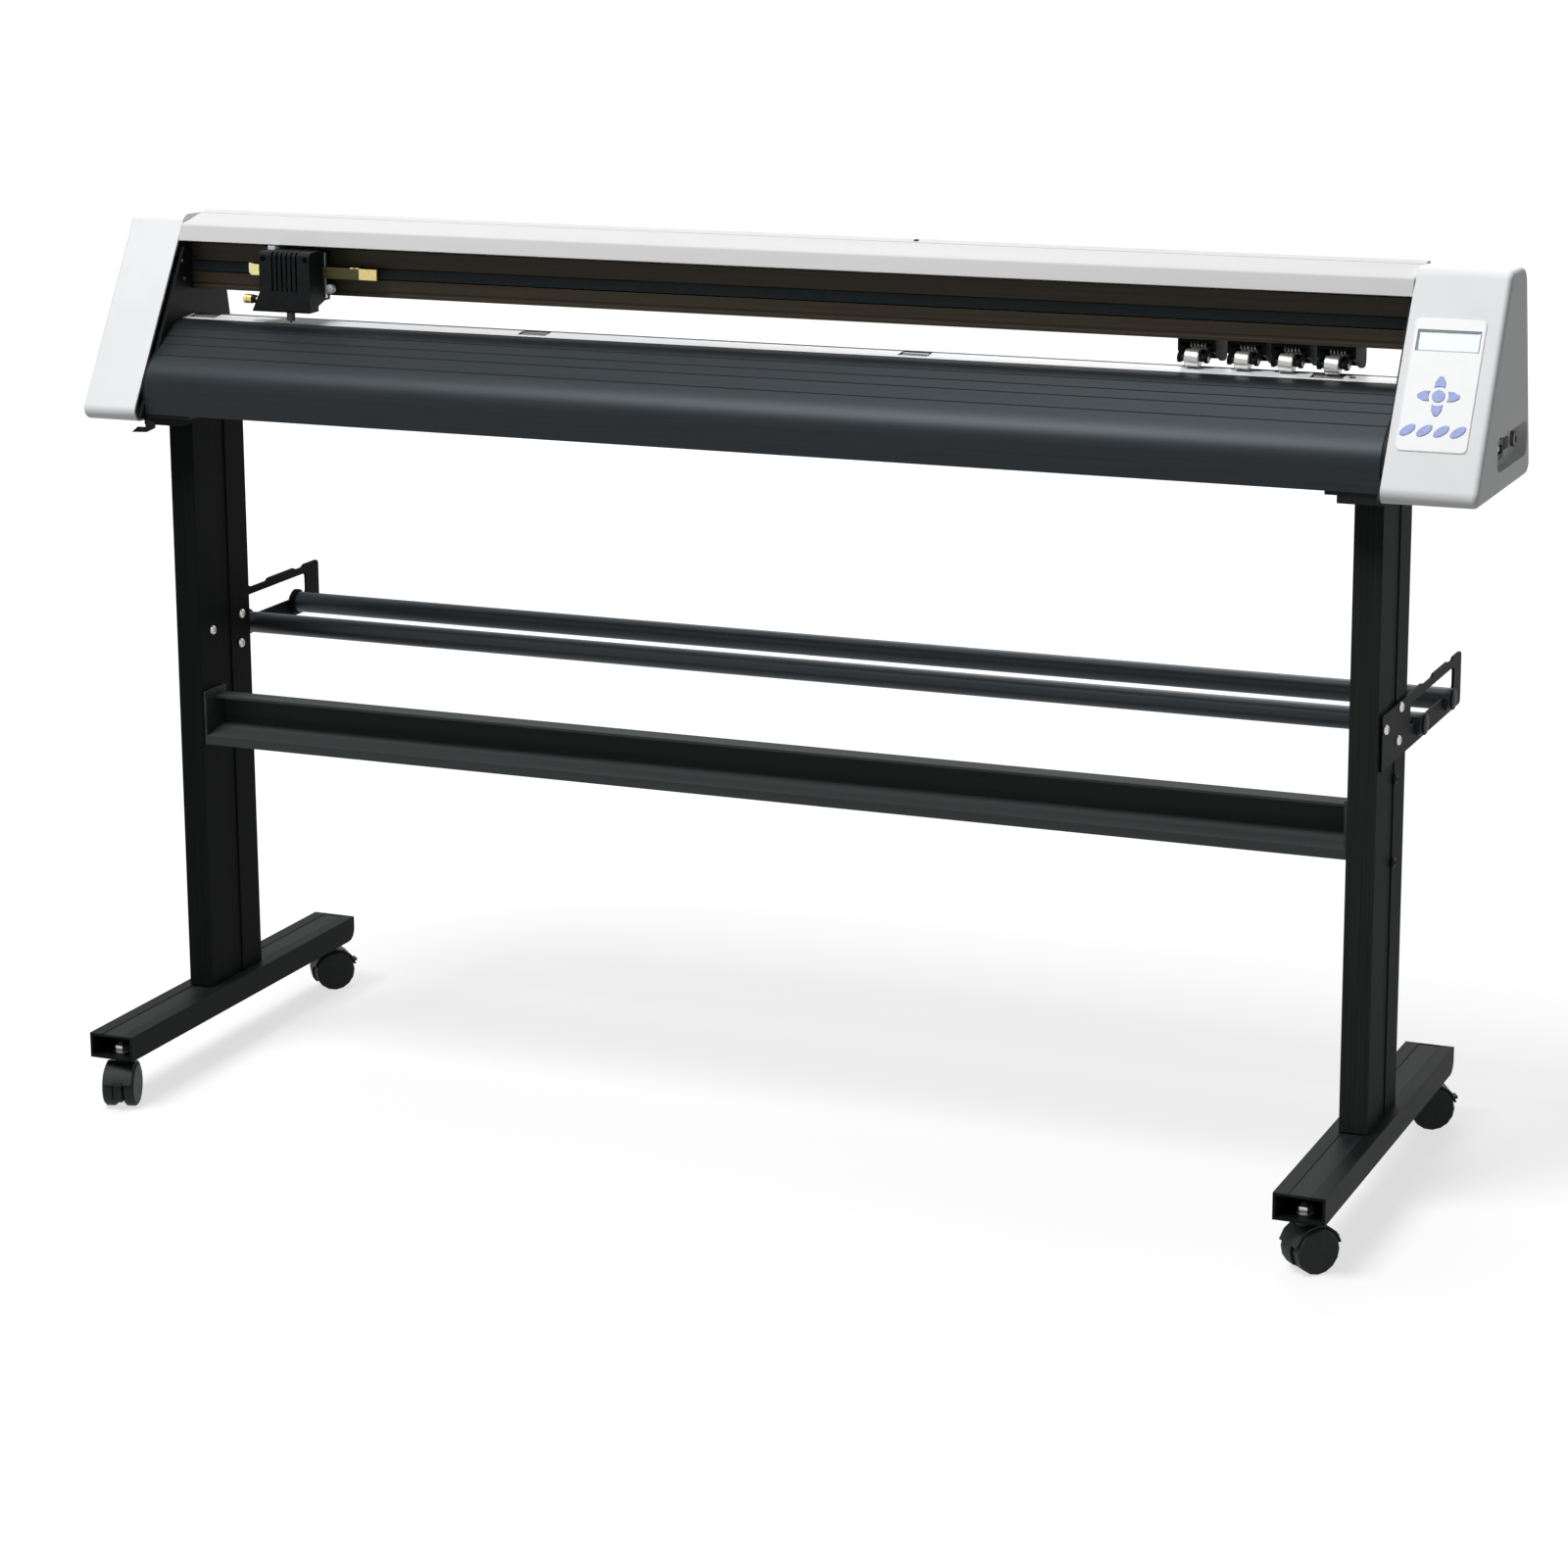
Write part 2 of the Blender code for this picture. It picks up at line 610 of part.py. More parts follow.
def make_caster(name, x, y):
    """A swivelling fork with its stem in the foot, and a pair of wheels on one axle, turned on the stem."""
    axle_y = y + CASTER_TRAIL
    axle_z = WHEEL_DIAMETER / 2
    web = CASTER_WEB / 2
    wheel_inner = web + WHEEL_SIDE_GAP
    wheel_outer = wheel_inner + WHEEL_WIDTH
    hood_radius = (axle_z + WHEEL_SIDE_GAP) / math.cos(math.pi / ROUND_SIDES) + HOOD_WALL
    hood_half = wheel_outer - HOOD_WALL
    arc = []
    for i in range(HOOD_STEPS + 1):
        turn = math.pi / 2 + HOOD_SPREAD * (1 - 2 * i / HOOD_STEPS)
        arc.append((axle_y - hood_radius * math.cos(turn), axle_z + hood_radius * math.sin(turn)))
    hood = prism("X", wall(arc, HOOD_WALL + 2 * WHEEL_SIDE_GAP), x - hood_half, x + hood_half)
    disc = cylinder("X", axle_y, axle_z, 2 * hood_radius - HOOD_WALL, x - web, x + web)
    edge_y, edge_z = arc[0]
    tab = (edge_y - HOOD_WALL, edge_y + BRAKE_REACH, edge_z, edge_z + BRAKE_THICKNESS)
    brake = box(x - BRAKE_WIDTH / 2, x + BRAKE_WIDTH / 2, *tab)
    reach = (axle_y - WHEEL_DIAMETER, axle_y + WHEEL_DIAMETER)
    flat = box(x - PAST, x + PAST, *reach, -PAST, CASTER_WEB_CLEARANCE)
    neck_top = CASTER_HEIGHT - SEAT_GAP
    neck = cylinder("Z", x, y, NECK_DIAMETER, axle_z + hood_radius - HOOD_WALL, neck_top)
    stem = cylinder("Z", x, y, STEM_DIAMETER, neck_top - HOOD_WALL, CASTER_HEIGHT + STEM_LENGTH)
    axle_hole = hole("X", axle_y, axle_z, CASTER_AXLE_DIAMETER, PIVOT_GAP, x - PAST, x + PAST)
    rooms = []
    for near, far in ((x + web, x + wheel_outer + PAST), (x - wheel_outer - PAST, x - web)):
        rooms.append(hole("X", axle_y, axle_z, WHEEL_DIAMETER, WHEEL_SIDE_GAP, near, far))
    fork = cut(join(cut(disc, flat), hood, brake, neck, stem), axle_hole, *rooms)
    stem_foot = Vector((x, y, axle_z))
    turn = Matrix.Rotation(CASTER_TURNS[name], 4, "Z")
    swivel = Matrix.Translation(stem_foot) @ turn @ Matrix.Translation(-stem_foot)
    fork.data.transform(swivel)
    piece(name + "_fork", fork, black_plastic, stem_foot)
    rim = WHEEL_DIAMETER / 2
    axle = CASTER_AXLE_DIAMETER / 2
    half_profile = (
        (wheel_outer, rim - 3 * WHEEL_BEVEL),
        (wheel_outer, rim - WHEEL_BEVEL),
        (wheel_outer - WHEEL_BEVEL, rim),
        (wheel_inner + WHEEL_BEVEL, rim),
        (wheel_inner, rim - WHEEL_BEVEL),
        (wheel_inner, axle),
    )
    left_half = [(x - distance, radius) for distance, radius in half_profile]
    right_half = [(x + distance, radius) for distance, radius in half_profile[::-1]]
    wheels = turned("X", axle_y, axle_z, left_half + right_half)
    wheels.data.transform(swivel)
    piece(name + "_wheels", wheels, black_plastic, swivel @ Vector((x, axle_y, axle_z)))


def make_upright(name, x):
    half = UPRIGHT_WIDTH / 2
    floor = half - UPRIGHT_SLOT_DEPTH
    middle = UPRIGHT_FRONT_Y + UPRIGHT_DEPTH / 2
    slot = UPRIGHT_SLOT_WIDTH / 2
    right_side = (
        (half, UPRIGHT_FRONT_Y),
        (half, middle - slot),
        (floor, middle - slot),
        (floor, middle + slot),
        (half, middle + slot),
        (half, upright_back_y),
    )
    outline = [(x + a, b) for a, b in right_side] + [(x - a, b) for a, b in right_side[::-1]]
    plate_bottom = upright_bottom + UPRIGHT_LENGTH
    tube = prism("Z", outline, upright_bottom, plate_bottom + HEAD_PLATE_THICKNESS / 2)
    reach = half + HEAD_PLATE_OVERHANG
    plate_back = HEAD_PLATE_FRONT_Y + HEAD_PLATE_LENGTH
    plate = box(x - reach, x + reach, HEAD_PLATE_FRONT_Y, plate_back, plate_bottom, plate_top)
    inner = floor - UPRIGHT_WALL
    front = UPRIGHT_FRONT_Y + UPRIGHT_WALL
    back = upright_back_y - UPRIGHT_WALL
    bore = box(x - inner, x + inner, front, back, upright_bottom - PAST, plate_bottom)
    return piece(name, cut(join(tube, plate), bore), black_paint)


def make_cross_beam():
    """A channel open to the front, its lower flange sloped with a lip, and a plate across each end."""
    back = CROSS_BEAM_FRONT_Y + CROSS_BEAM_DEPTH
    top = CROSS_BEAM_Z + CROSS_BEAM_HEIGHT
    lip_back = CROSS_BEAM_FRONT_Y + CROSS_BEAM_WALL
    lip_top = CROSS_BEAM_Z + CROSS_BEAM_LIP
    path = (
        (lip_back, CROSS_BEAM_Z),
        (lip_back, lip_top),
        (back, lip_top + CROSS_BEAM_DROP),
        (back, top),
        (back - CROSS_BEAM_BROW, top),
    )
    left = left_stand_x + UPRIGHT_WIDTH / 2 + SEAT_GAP
    right = right_stand_x - UPRIGHT_WIDTH / 2 - SEAT_GAP
    plates = []
    for near, far in ((left, left + CROSS_BEAM_WALL), (right - CROSS_BEAM_WALL, right)):
        sides = (CROSS_BEAM_FRONT_Y, back, CROSS_BEAM_Z, CROSS_BEAM_Z + CROSS_BEAM_END_HEIGHT)
        plates.append(box(near, far, *sides))
    channel = prism("X", wall(path, CROSS_BEAM_WALL), left, right)
    return piece("cross_beam", join(channel, *plates), black_paint)


def make_roll_bracket(name, left, right):
    """A plate with a window whose lower arm has a cradle for each bar, and a wavy top edge."""
    back = BRACKET_FRONT_Y + BRACKET_LENGTH
    top = BRACKET_Z + BRACKET_HEIGHT
    dip = top - BRACKET_WAVE_DEPTH
    curve = 2 * BRACKET_WAVE_DEPTH
    corners = [(BRACKET_FRONT_Y, BRACKET_Z, 0), (back, BRACKET_Z, curve), (back, top, curve)]
    for end, start in ((REAR_BAR_Y + BRACKET_WAVE_LENGTH, REAR_BAR_Y), (FRONT_WAVE_END, FRONT_WAVE_START)):
        corners += [(end, top, curve), (end - curve, dip, curve)]
        corners += [(start + curve, dip, curve), (start, top, curve)]
    corners.append((BRACKET_FRONT_Y, top, 0))
    plate = prism("X", rounded(corners), left, right)
    sill = BRACKET_Z + BRACKET_LOWER_ARM
    lintel = top - BRACKET_UPPER_ARM
    window_back = back - BRACKET_STRUT
    window = (
        (BRACKET_WINDOW_Y, sill, curve),
        (window_back, sill, curve),
        (window_back, lintel, curve),
        (BRACKET_WINDOW_Y, lintel, curve),
    )
    cutters = [prism("X", rounded(window), left - PAST, right + PAST)]
    cradle = (BAR_DIAMETER / 2 + PIVOT_GAP) / math.cos(math.pi / ROUND_SIDES)
    for y in (FRONT_BAR_Y, REAR_BAR_Y):
        cutters.append(hole("X", y, bar_z, BAR_DIAMETER, PIVOT_GAP, left - PAST, right + PAST))
        cutters.append(box(left - PAST, right + PAST, y - cradle, y + cradle, bar_z, sill + curve))
    return piece(name, cut(plate, *cutters), black_paint)


def make_bar(name, y):
    left = left_bracket_outer
    right = right_bracket_outer + BAR_OVERHANG
    rim = BAR_DIAMETER / 2
    profile = (
        (left, rim - BAR_CHAMFER),
        (left + BAR_CHAMFER, rim),
        (right - BAR_CHAMFER, rim),
        (right, rim - BAR_CHAMFER),
    )
    tube = turned("X", y, bar_z, profile)
    bore = cylinder("X", y, bar_z, BAR_DIAMETER - 2 * BAR_WALL, left - PAST, right + PAST)
    return piece(name, cut(tube, bore), steel, ((left + right) / 2, y, bar_z))


def make_stand():
    for side, x in (("left", left_stand_x), ("right", right_stand_x)):
        make_foot(side + "_foot", x)
        make_upright(side + "_upright", x)
        make_caster(side + "_front_caster", x, front_caster_y)
        make_caster(side + "_rear_caster", x, rear_caster_y)
    make_cross_beam()
    make_roll_bracket("left_roll_bracket", left_bracket_outer, left_bracket_outer + BRACKET_THICKNESS)
    make_roll_bracket("right_roll_bracket", right_bracket_outer - BRACKET_THICKNESS, right_bracket_outer)
    make_bar("front_media_bar", FRONT_BAR_Y)
    make_bar("rear_media_bar", REAR_BAR_Y)


def cap_corners():
    """The side outline of an end cap, from its toe round by the heel and crown to the brow."""
    top = head_bottom + CAP_HEIGHT
    low = head_bottom - CAP_SKIRT
    return [
        (slope_y(low, 0), low, CAP_TOE_RADIUS),
        (cap_back_y(low), low, CAP_HEEL_RADIUS),
        (cap_back_y(top - CAP_TOP_DROP), top - CAP_TOP_DROP, CAP_CROWN_RADIUS),
        (CAP_FRONT_Y + CAP_LEAN, top, CAP_BROW_RADIUS),
    ]


def cap_back_y(z):
    """The back of an end cap at this height: it leans forwards going up."""
    below_top = head_bottom + CAP_HEIGHT - z
    return CAP_FRONT_Y + CAP_LEAN + CAP_TOP_DEPTH + CAP_BACK_LEAN * below_top / CAP_HEIGHT


def slope_y(z, setback):
    """A line this far behind the sloping front of the caps, at this height."""
    slope = math.hypot(CAP_LEAN, CAP_HEIGHT) / CAP_HEIGHT
    return CAP_FRONT_Y + CAP_LEAN * (z - head_bottom) / CAP_HEIGHT + setback * slope


def cap_shell(inner_x, outer_x):
    """A moulded cap with its outer edge rounded, open to the side plate but closed above the cover."""
    outward = 1 if outer_x > inner_x else -1
    corners = cap_corners()
    sections = [(inner_x, rounded(corners))]
    for i in range(CAP_EDGE_STEPS + 1):
        turn = math.pi / 2 * i / CAP_EDGE_STEPS
        distance = outer_x - outward * CAP_EDGE_RADIUS * (1 - math.sin(turn))
        sections.append((distance, rounded(inset(corners, CAP_EDGE_RADIUS * (1 - math.cos(turn))))))
    shell = loft("X", sections)
    room = rounded(inset(corners, CAP_WALL))
    cut(shell, prism("X", room, inner_x - outward * PAST, outer_x - outward * CAP_WALL))
    web = prism("X", rounded(inset(corners, CAP_WALL / 2)), *sorted((inner_x, inner_x + outward * CAP_WALL)))
    ends = sorted((inner_x - outward * PAST, inner_x + outward * PAST))
    web_foot = cover_crease_z - CAP_WEB_DROP
    sides = (CAP_FRONT_Y - PAST, cap_back_y(head_bottom) + PAST)
    below = box(*ends, *sides, head_bottom - PAST, web_foot)
    return join(shell, cut(web, below))


def make_left_cap():
    return piece("left_end_cap", cap_shell(left_cap_inner, head_left), white_plastic)


def on_panel(obj):
    """Moves a solid from panel places, across, along the slope and out of it, to its real place."""
    slope = math.hypot(CAP_LEAN, CAP_HEIGHT)
    lean = CAP_LEAN / slope
    rise = CAP_HEIGHT / slope
    obj.data.transform(
        Matrix((
            (1, 0, 0, head_right - RIGHT_CAP_WIDTH / 2),
            (0, lean, -rise, CAP_FRONT_Y),
            (0, rise, lean, head_bottom),
            (0, 0, 0, 1),
        ))
    )
    return obj


def petal(turn):
    """An arrow key: hollowed round the middle button's ring, and drawn to a blunt tip."""
    shape = []
    for share in (-1, -0.5, 0, 0.5, 1):
        shape.append((PAD_RING_RADIUS, share * PETAL_HALF_ANGLE))
    shape.append((PAD_RING_RADIUS + PETAL_LENGTH / 2, PETAL_HALF_ANGLE * PETAL_WAIST))
    shape.append((PAD_RING_RADIUS + PETAL_LENGTH, PETAL_HALF_ANGLE * PETAL_TIP))
    shape.append((PAD_RING_RADIUS + PETAL_LENGTH, -PETAL_HALF_ANGLE * PETAL_TIP))
    shape.append((PAD_RING_RADIUS + PETAL_LENGTH / 2, -PETAL_HALF_ANGLE * PETAL_WAIST))
    points = []
    for radius, angle in shape:
        across = PAD_OFFSET + radius * math.cos(turn + angle)
        points.append((across, PAD_FOOT + radius * math.sin(turn + angle)))
    return points[::-1]


def function_oval(number):
    across = FUNCTION_OFFSET + FUNCTION_PITCH * (number - (FUNCTION_KEYS + 1) / 2)
    points = []
    for a, b in circle(0, 0, 1, OVAL_SIDES):
        long = FUNCTION_LONG_RADIUS * a
        short = FUNCTION_SHORT_RADIUS * b
        x = long * math.cos(FUNCTION_TURN) - short * math.sin(FUNCTION_TURN)
        up = long * math.sin(FUNCTION_TURN) + short * math.cos(FUNCTION_TURN)
        points.append((across + x, FUNCTION_FOOT + up))
    return points


def key_outlines():
    """The outline of each key on the panel, by name."""
    outlines = {"centre_key": circle(PAD_OFFSET, PAD_FOOT, PAD_BUTTON_RADIUS, OVAL_SIDES)}
    for i, name in enumerate(("right_key", "up_key", "left_key", "down_key")):
        outlines[name] = petal(math.pi / 2 * i)
    for number in range(1, FUNCTION_KEYS + 1):
        outlines["function_key_" + str(number)] = function_oval(number)
    return outlines


def panel_cutter(outline):
    return on_panel(prism("Z", shifted(outline, -SEAT_GAP, True), -PAST, PAST))


def screen_outline():
    half = SCREEN_WIDTH / 2
    top = SCREEN_FOOT + SCREEN_LENGTH
    left = OVERLAY_OFFSET - half
    right = OVERLAY_OFFSET + half
    return [(left, SCREEN_FOOT), (right, SCREEN_FOOT), (right, top), (left, top)]


def recess_corners():
    back = RECESS_FRONT_Y + RECESS_LENGTH
    low = head_bottom + RECESS_Z
    high = low + RECESS_HEIGHT
    corners = ((RECESS_FRONT_Y, low), (back, low), (back, high), (RECESS_FRONT_Y, high))
    return [(a, b, RECESS_RADIUS) for a, b in corners]


def make_right_cap():
    """The panel end: key holes and a screen window in the slope, and a socket recess in the side."""
    shell = cap_shell(right_cap_inner, head_right)
    floor = head_right - RECESS_DEPTH
    around = rounded(inset(recess_corners(), -RECESS_FLOOR))
    join(shell, prism("X", around, floor - RECESS_FLOOR, head_right - CAP_WALL / 2))
    cutters = [prism("X", rounded(recess_corners()), floor, head_right + PAST)]
    inlet = (SOCKET_WIDTH / 2 + SEAT_GAP, SOCKET_HEIGHT / 2 + SEAT_GAP)
    rocker = (SWITCH_LENGTH / 2 + SEAT_GAP, SWITCH_HEIGHT / 2 + SEAT_GAP)
    for y, (across, up) in ((SOCKET_Y, inlet), (SWITCH_Y, rocker)):
        sides = (y - across, y + across, recess_z - up, recess_z + up)
        cutters.append(box(floor - PAST, floor + PAST, *sides))
    cutters.append(hole("X", PORT_Y, recess_z, PORT_DIAMETER, SEAT_GAP, floor - PAST, floor + PAST))
    for outline in list(key_outlines().values()) + [screen_outline()]:
        cutters.append(panel_cutter(outline))
    return piece("right_end_cap", cut(shell, *cutters), white_plastic)


def make_panel():
    """The overlay, the screen behind its window, and the keys that travel through overlay and cap."""
    half = OVERLAY_WIDTH / 2
    top = OVERLAY_FOOT + OVERLAY_LENGTH
    left = OVERLAY_OFFSET - half
    right = OVERLAY_OFFSET + half
    corners = [(left, OVERLAY_FOOT), (right, OVERLAY_FOOT), (right, top), (left, top)]
    sheet_top = SEAT_GAP + OVERLAY_THICKNESS
    sheet = prism("Z", rounded([(a, b, OVERLAY_RADIUS) for a, b in corners]), SEAT_GAP, sheet_top)
    on_panel(sheet)
    outlines = key_outlines()
    holes = [panel_cutter(outline) for outline in list(outlines.values()) + [screen_outline()]]
    piece("keypad_overlay", cut(sheet, *holes), white_plastic)
    screen = prism("Z", screen_outline(), -SCREEN_RECESS - SCREEN_DEPTH, -SCREEN_RECESS)
    piece("display_screen", on_panel(screen), pale_glass)
    for name, outline in outlines.items():
        key_top = sheet_top + KEY_PROUD + KEY_TRAVEL
        key = on_panel(prism("Z", outline, -CAP_WALL - KEY_TAIL, key_top))
        middle = sum((Vector(vertex.co) for vertex in key.data.vertices), Vector()) / len(key.data.vertices)
        piece(name, key, blue_plastic, middle)


def make_board():
    """The control board behind the recess, with its power inlet and port in the recess floor."""
    floor = head_right - RECESS_DEPTH
    board_x = floor - RECESS_FLOOR - BOARD_GAP
    front = SOCKET_Y - SOCKET_WIDTH
    low = recess_z - SOCKET_HEIGHT
    back = cap_back_y(low + BOARD_HEIGHT) - 2 * CAP_WALL
    board = box(board_x - BOARD_THICKNESS, board_x, front, back, low, low + BOARD_HEIGHT)
    across = SOCKET_WIDTH / 2
    up = SOCKET_HEIGHT / 2
    under = board_x - BOARD_THICKNESS / 2
    sides = (SOCKET_Y - across, SOCKET_Y + across, recess_z - up, recess_z + up)
    inlet = box(under, floor + SOCKET_STAND, *sides)
    port = cylinder("X", PORT_Y, recess_z, PORT_DIAMETER, under, floor + SOCKET_STAND)
    sides = (back - TRANSFORMER_SIDE, back - BOARD_THICKNESS, low, low + TRANSFORMER_SIDE)
    core = box(board_x - TRANSFORMER_SIDE, under, *sides)
    across = SOCKET_HOLE_WIDTH / 2
    up = SOCKET_HOLE_HEIGHT / 2
    sides = (SOCKET_Y - across, SOCKET_Y + across, recess_z - up, recess_z + up)
    pins = box(floor - RECESS_FLOOR, floor + PAST, *sides)
    bore = cylinder("X", PORT_Y, recess_z, PORT_DIAMETER / 2, floor - RECESS_FLOOR, floor + PAST)
    piece("control_board", cut(join(board, inlet, port, core), pins, bore), green_board)
    middle = floor - RECESS_FLOOR / 2
    half = SWITCH_LENGTH / 2 - SWITCH_END_GAP
    outline = (
        (middle - SWITCH_DEPTH, SWITCH_Y - half),
        (middle + SWITCH_DEPTH, SWITCH_Y - half),
        (middle + SWITCH_DEPTH / 2, SWITCH_Y),
        (middle + SWITCH_DEPTH, SWITCH_Y + half),
        (middle - SWITCH_DEPTH, SWITCH_Y + half),
    )
    rocker = prism("Z", outline, recess_z - SWITCH_HEIGHT / 2, recess_z + SWITCH_HEIGHT / 2)
    piece("power_switch", rocker, black_plastic, (middle, SWITCH_Y, recess_z))


def make_beam():
    """An extrusion with a slotted belt channel in front and a T slot under it."""
    front = BEAM_FRONT_Y
    back = front + BEAM_DEPTH
    top = beam_bottom + BEAM_HEIGHT
    neck = T_SLOT_NECK / 2
    head = T_SLOT_HEAD / 2
    shelf = beam_bottom + T_SLOT_NECK_DEPTH
    ceiling = shelf + T_SLOT_HEAD_DEPTH
    slot = BELT_SLOT_HEIGHT / 2
    channel = BELT_CHANNEL_HEIGHT / 2
    deep = front + BELT_CHANNEL_DEPTH
    lip = front + BELT_LIP
    outline = (
        (front, beam_bottom),
        (t_slot_y - neck, beam_bottom),
        (t_slot_y - neck, shelf),
        (t_slot_y - head, shelf),
        (t_slot_y - head, ceiling),
        (t_slot_y + head, ceiling),
        (t_slot_y + head, shelf),
        (t_slot_y + neck, shelf),
        (t_slot_y + neck, beam_bottom),
        (back, beam_bottom),
        (back, top),
        (front, top),
        (front, belt_z + slot),
        (lip, belt_z + slot),
        (lip, belt_z + channel),
        (deep, belt_z + channel),
        (deep, belt_z - channel),
        (lip, belt_z - channel),
        (lip, belt_z - slot),
        (front, belt_z - slot),
        (front, beam_bottom + 2 * RAIL_LIP_WIDTH),
        (front + RAIL_LIP_DEPTH, beam_bottom + 2 * RAIL_LIP_WIDTH),
        (front + RAIL_LIP_DEPTH, beam_bottom + RAIL_LIP_WIDTH),
        (front, beam_bottom + RAIL_LIP_WIDTH),
    )
    return piece("rail_beam", prism("X", outline, span_left, span_right), bronze)


def cover_top_z(y):
    """The top of the cover at this depth: it rises from the crease to the crown."""
    return cover_crease_z + COVER_TOP_RISE * (y - COVER_LIP_Y - COVER_LIP_LEAN) / COVER_TOP_DEPTH


def make_cover():
    """A bent cover with a slanted front lip, a groove along its top and a rib that stands on the beam."""
    crease_y = COVER_LIP_Y + COVER_LIP_LEAN
    crown_y = crease_y + COVER_TOP_DEPTH
    crown_z = cover_top_z(crown_y)
    path = rounded_path((
        (crown_y + COVER_BACK_LEAN, crown_z - COVER_BACK_HEIGHT, 0),
        (crown_y, crown_z, COVER_CROWN_RADIUS),
        (crease_y, cover_crease_z, COVER_CREASE_RADIUS),
        (COVER_LIP_Y, head_bottom + COVER_LIP_Z, 0),
    ))
    cover = prism("X", wall(path, COVER_THICKNESS), left_plate_outer, right_plate_outer)
    rib_y = BEAM_FRONT_Y + BEAM_DEPTH / 2
    rib = COVER_RIB_WIDTH / 2
    rib_foot = beam_bottom + BEAM_HEIGHT + SEAT_GAP
    rib_top = cover_top_z(rib_y) - COVER_THICKNESS / 2
    join(cover, box(span_left, span_right, rib_y - rib, rib_y + rib, rib_foot, rib_top))
    groove = COVER_GROOVE_WIDTH / 2
    floor = cover_top_z(COVER_GROOVE_Y) - COVER_GROOVE_DEPTH
    ends = (left_plate_outer - PAST, right_plate_outer + PAST)
    cut(cover, box(*ends, COVER_GROOVE_Y - groove, COVER_GROOVE_Y + groove, floor, floor + PAST))
    return piece("top_cover", cover, white_plastic)


def make_platen():
    """A wall bent over the roller: round nose, grooved slope, flat strip with drum windows, and a back."""
    foot = head_bottom + FLANGE_THICKNESS + SEAT_GAP
    shoulder = Vector((PLATEN_FRONT_Y, head_bottom + PLATEN_SHOULDER_Z))
    crest = Vector((PLATEN_CREST_Y, head_bottom + PLATEN_CREST_Z))
    strip_end = head_bottom + PLATEN_STRIP_END_Z
    path = rounded_path((
        (PLATEN_BACK_Y, foot, 0),
        (PLATEN_BACK_Y, head_bottom + PLATEN_BACK_SHOULDER_Z, PLATEN_BACK_RADIUS),
        (PLATEN_STRIP_END_Y + PLATEN_LEDGE, strip_end, PLATEN_LEDGE_RADIUS),
        (crest.x, crest.y, PLATEN_CREST_RADIUS),
        (shoulder.x, shoulder.y, PLATEN_NOSE_RADIUS),
        (PLATEN_FRONT_Y, foot, 0),
    ))
    body = prism("X", wall(path, PLATEN_WALL), span_left, span_right)
    along_slope = (crest - shoulder).normalized()
    out = Vector((-along_slope.y, along_slope.x))
    cutters = []
    for y in PLATEN_GROOVES:
        middle = shoulder + along_slope * ((y - shoulder.x) / along_slope.x)
        mouth = along_slope * PLATEN_GROOVE_WIDTH
        lifted = middle + out * PLATEN_GROOVE_DEPTH
        triangle = (lifted - mouth, middle - out * PLATEN_GROOVE_DEPTH, lifted + mouth)
        cutters.append(prism("X", triangle, span_left - PAST, span_right + PAST))
    depth = DRUM_DIAMETER / 2 - PLATEN_WALL - DRUM_STAND
    half = math.sqrt((DRUM_DIAMETER / 2) ** 2 - depth**2) + WINDOW_GAP
    reach = DRUM_LENGTH / 2 + WINDOW_GAP
    for x in drum_places:
        sides = (ROLLER_Y - half, ROLLER_Y + half, roller_z, roller_z + 2 * PAST)
        cutters.append(box(x - reach, x + reach, *sides))
    return piece("platen", cut(body, *cutters), black_platen)


def make_side_plate(name, outer, inner):
    """A plate that carries beam, platen and roller, with a flange that bolts to the upright."""
    crown = cover_crease_z - COVER_THICKNESS - SEAT_GAP
    crease_y = COVER_LIP_Y + COVER_LIP_LEAN
    crown_y = crease_y + COVER_TOP_DEPTH
    lean = COVER_BACK_LEAN / COVER_BACK_HEIGHT
    cover_end = cover_top_z(crown_y) - COVER_BACK_HEIGHT - COVER_THICKNESS
    inside = COVER_THICKNESS * math.hypot(1, lean) + SEAT_GAP
    outline = (
        (slope_y(head_bottom, PLATE_SETBACK), head_bottom),
        (cap_back_y(head_bottom) - CAP_HEEL_RADIUS, head_bottom),
        (cap_back_y(head_bottom + CAP_HEEL_RADIUS), head_bottom + CAP_HEEL_RADIUS),
        (cap_back_y(cover_end), cover_end),
        (crown_y + COVER_BACK_LEAN - inside, cover_end),
        (crown_y + lean * (cover_top_z(crown_y) - crown) - inside, crown),
        (slope_y(crown, PLATE_SETBACK), crown),
    )
    plate = prism("X", outline, min(outer, inner), max(outer, inner))
    inward = 1 if inner > outer else -1
    ends = sorted((inner - inward * PLATE_THICKNESS / 2, inner + inward * FLANGE_LENGTH))
    flange_back = HEAD_PLATE_FRONT_Y + HEAD_PLATE_LENGTH
    flange = box(*ends, HEAD_PLATE_FRONT_Y, flange_back, head_bottom, head_bottom + FLANGE_THICKNESS)
    additions = [flange]
    if name == "left_side_plate":
        additions += idler_bracket()
    join(plate, *additions)
    bore = hole("X", ROLLER_Y, roller_z, JOURNAL_DIAMETER, PIVOT_GAP, outer - PAST, outer + PAST)
    slot = BELT_SLOT_HEIGHT / 2
    half = belt_half_depth + BELT_LIP
    window = box(outer - PAST, outer + PAST, pulley_y - half, pulley_y + half, belt_z - slot, belt_z + slot)
    return piece(name, cut(plate, bore, window), black_paint)


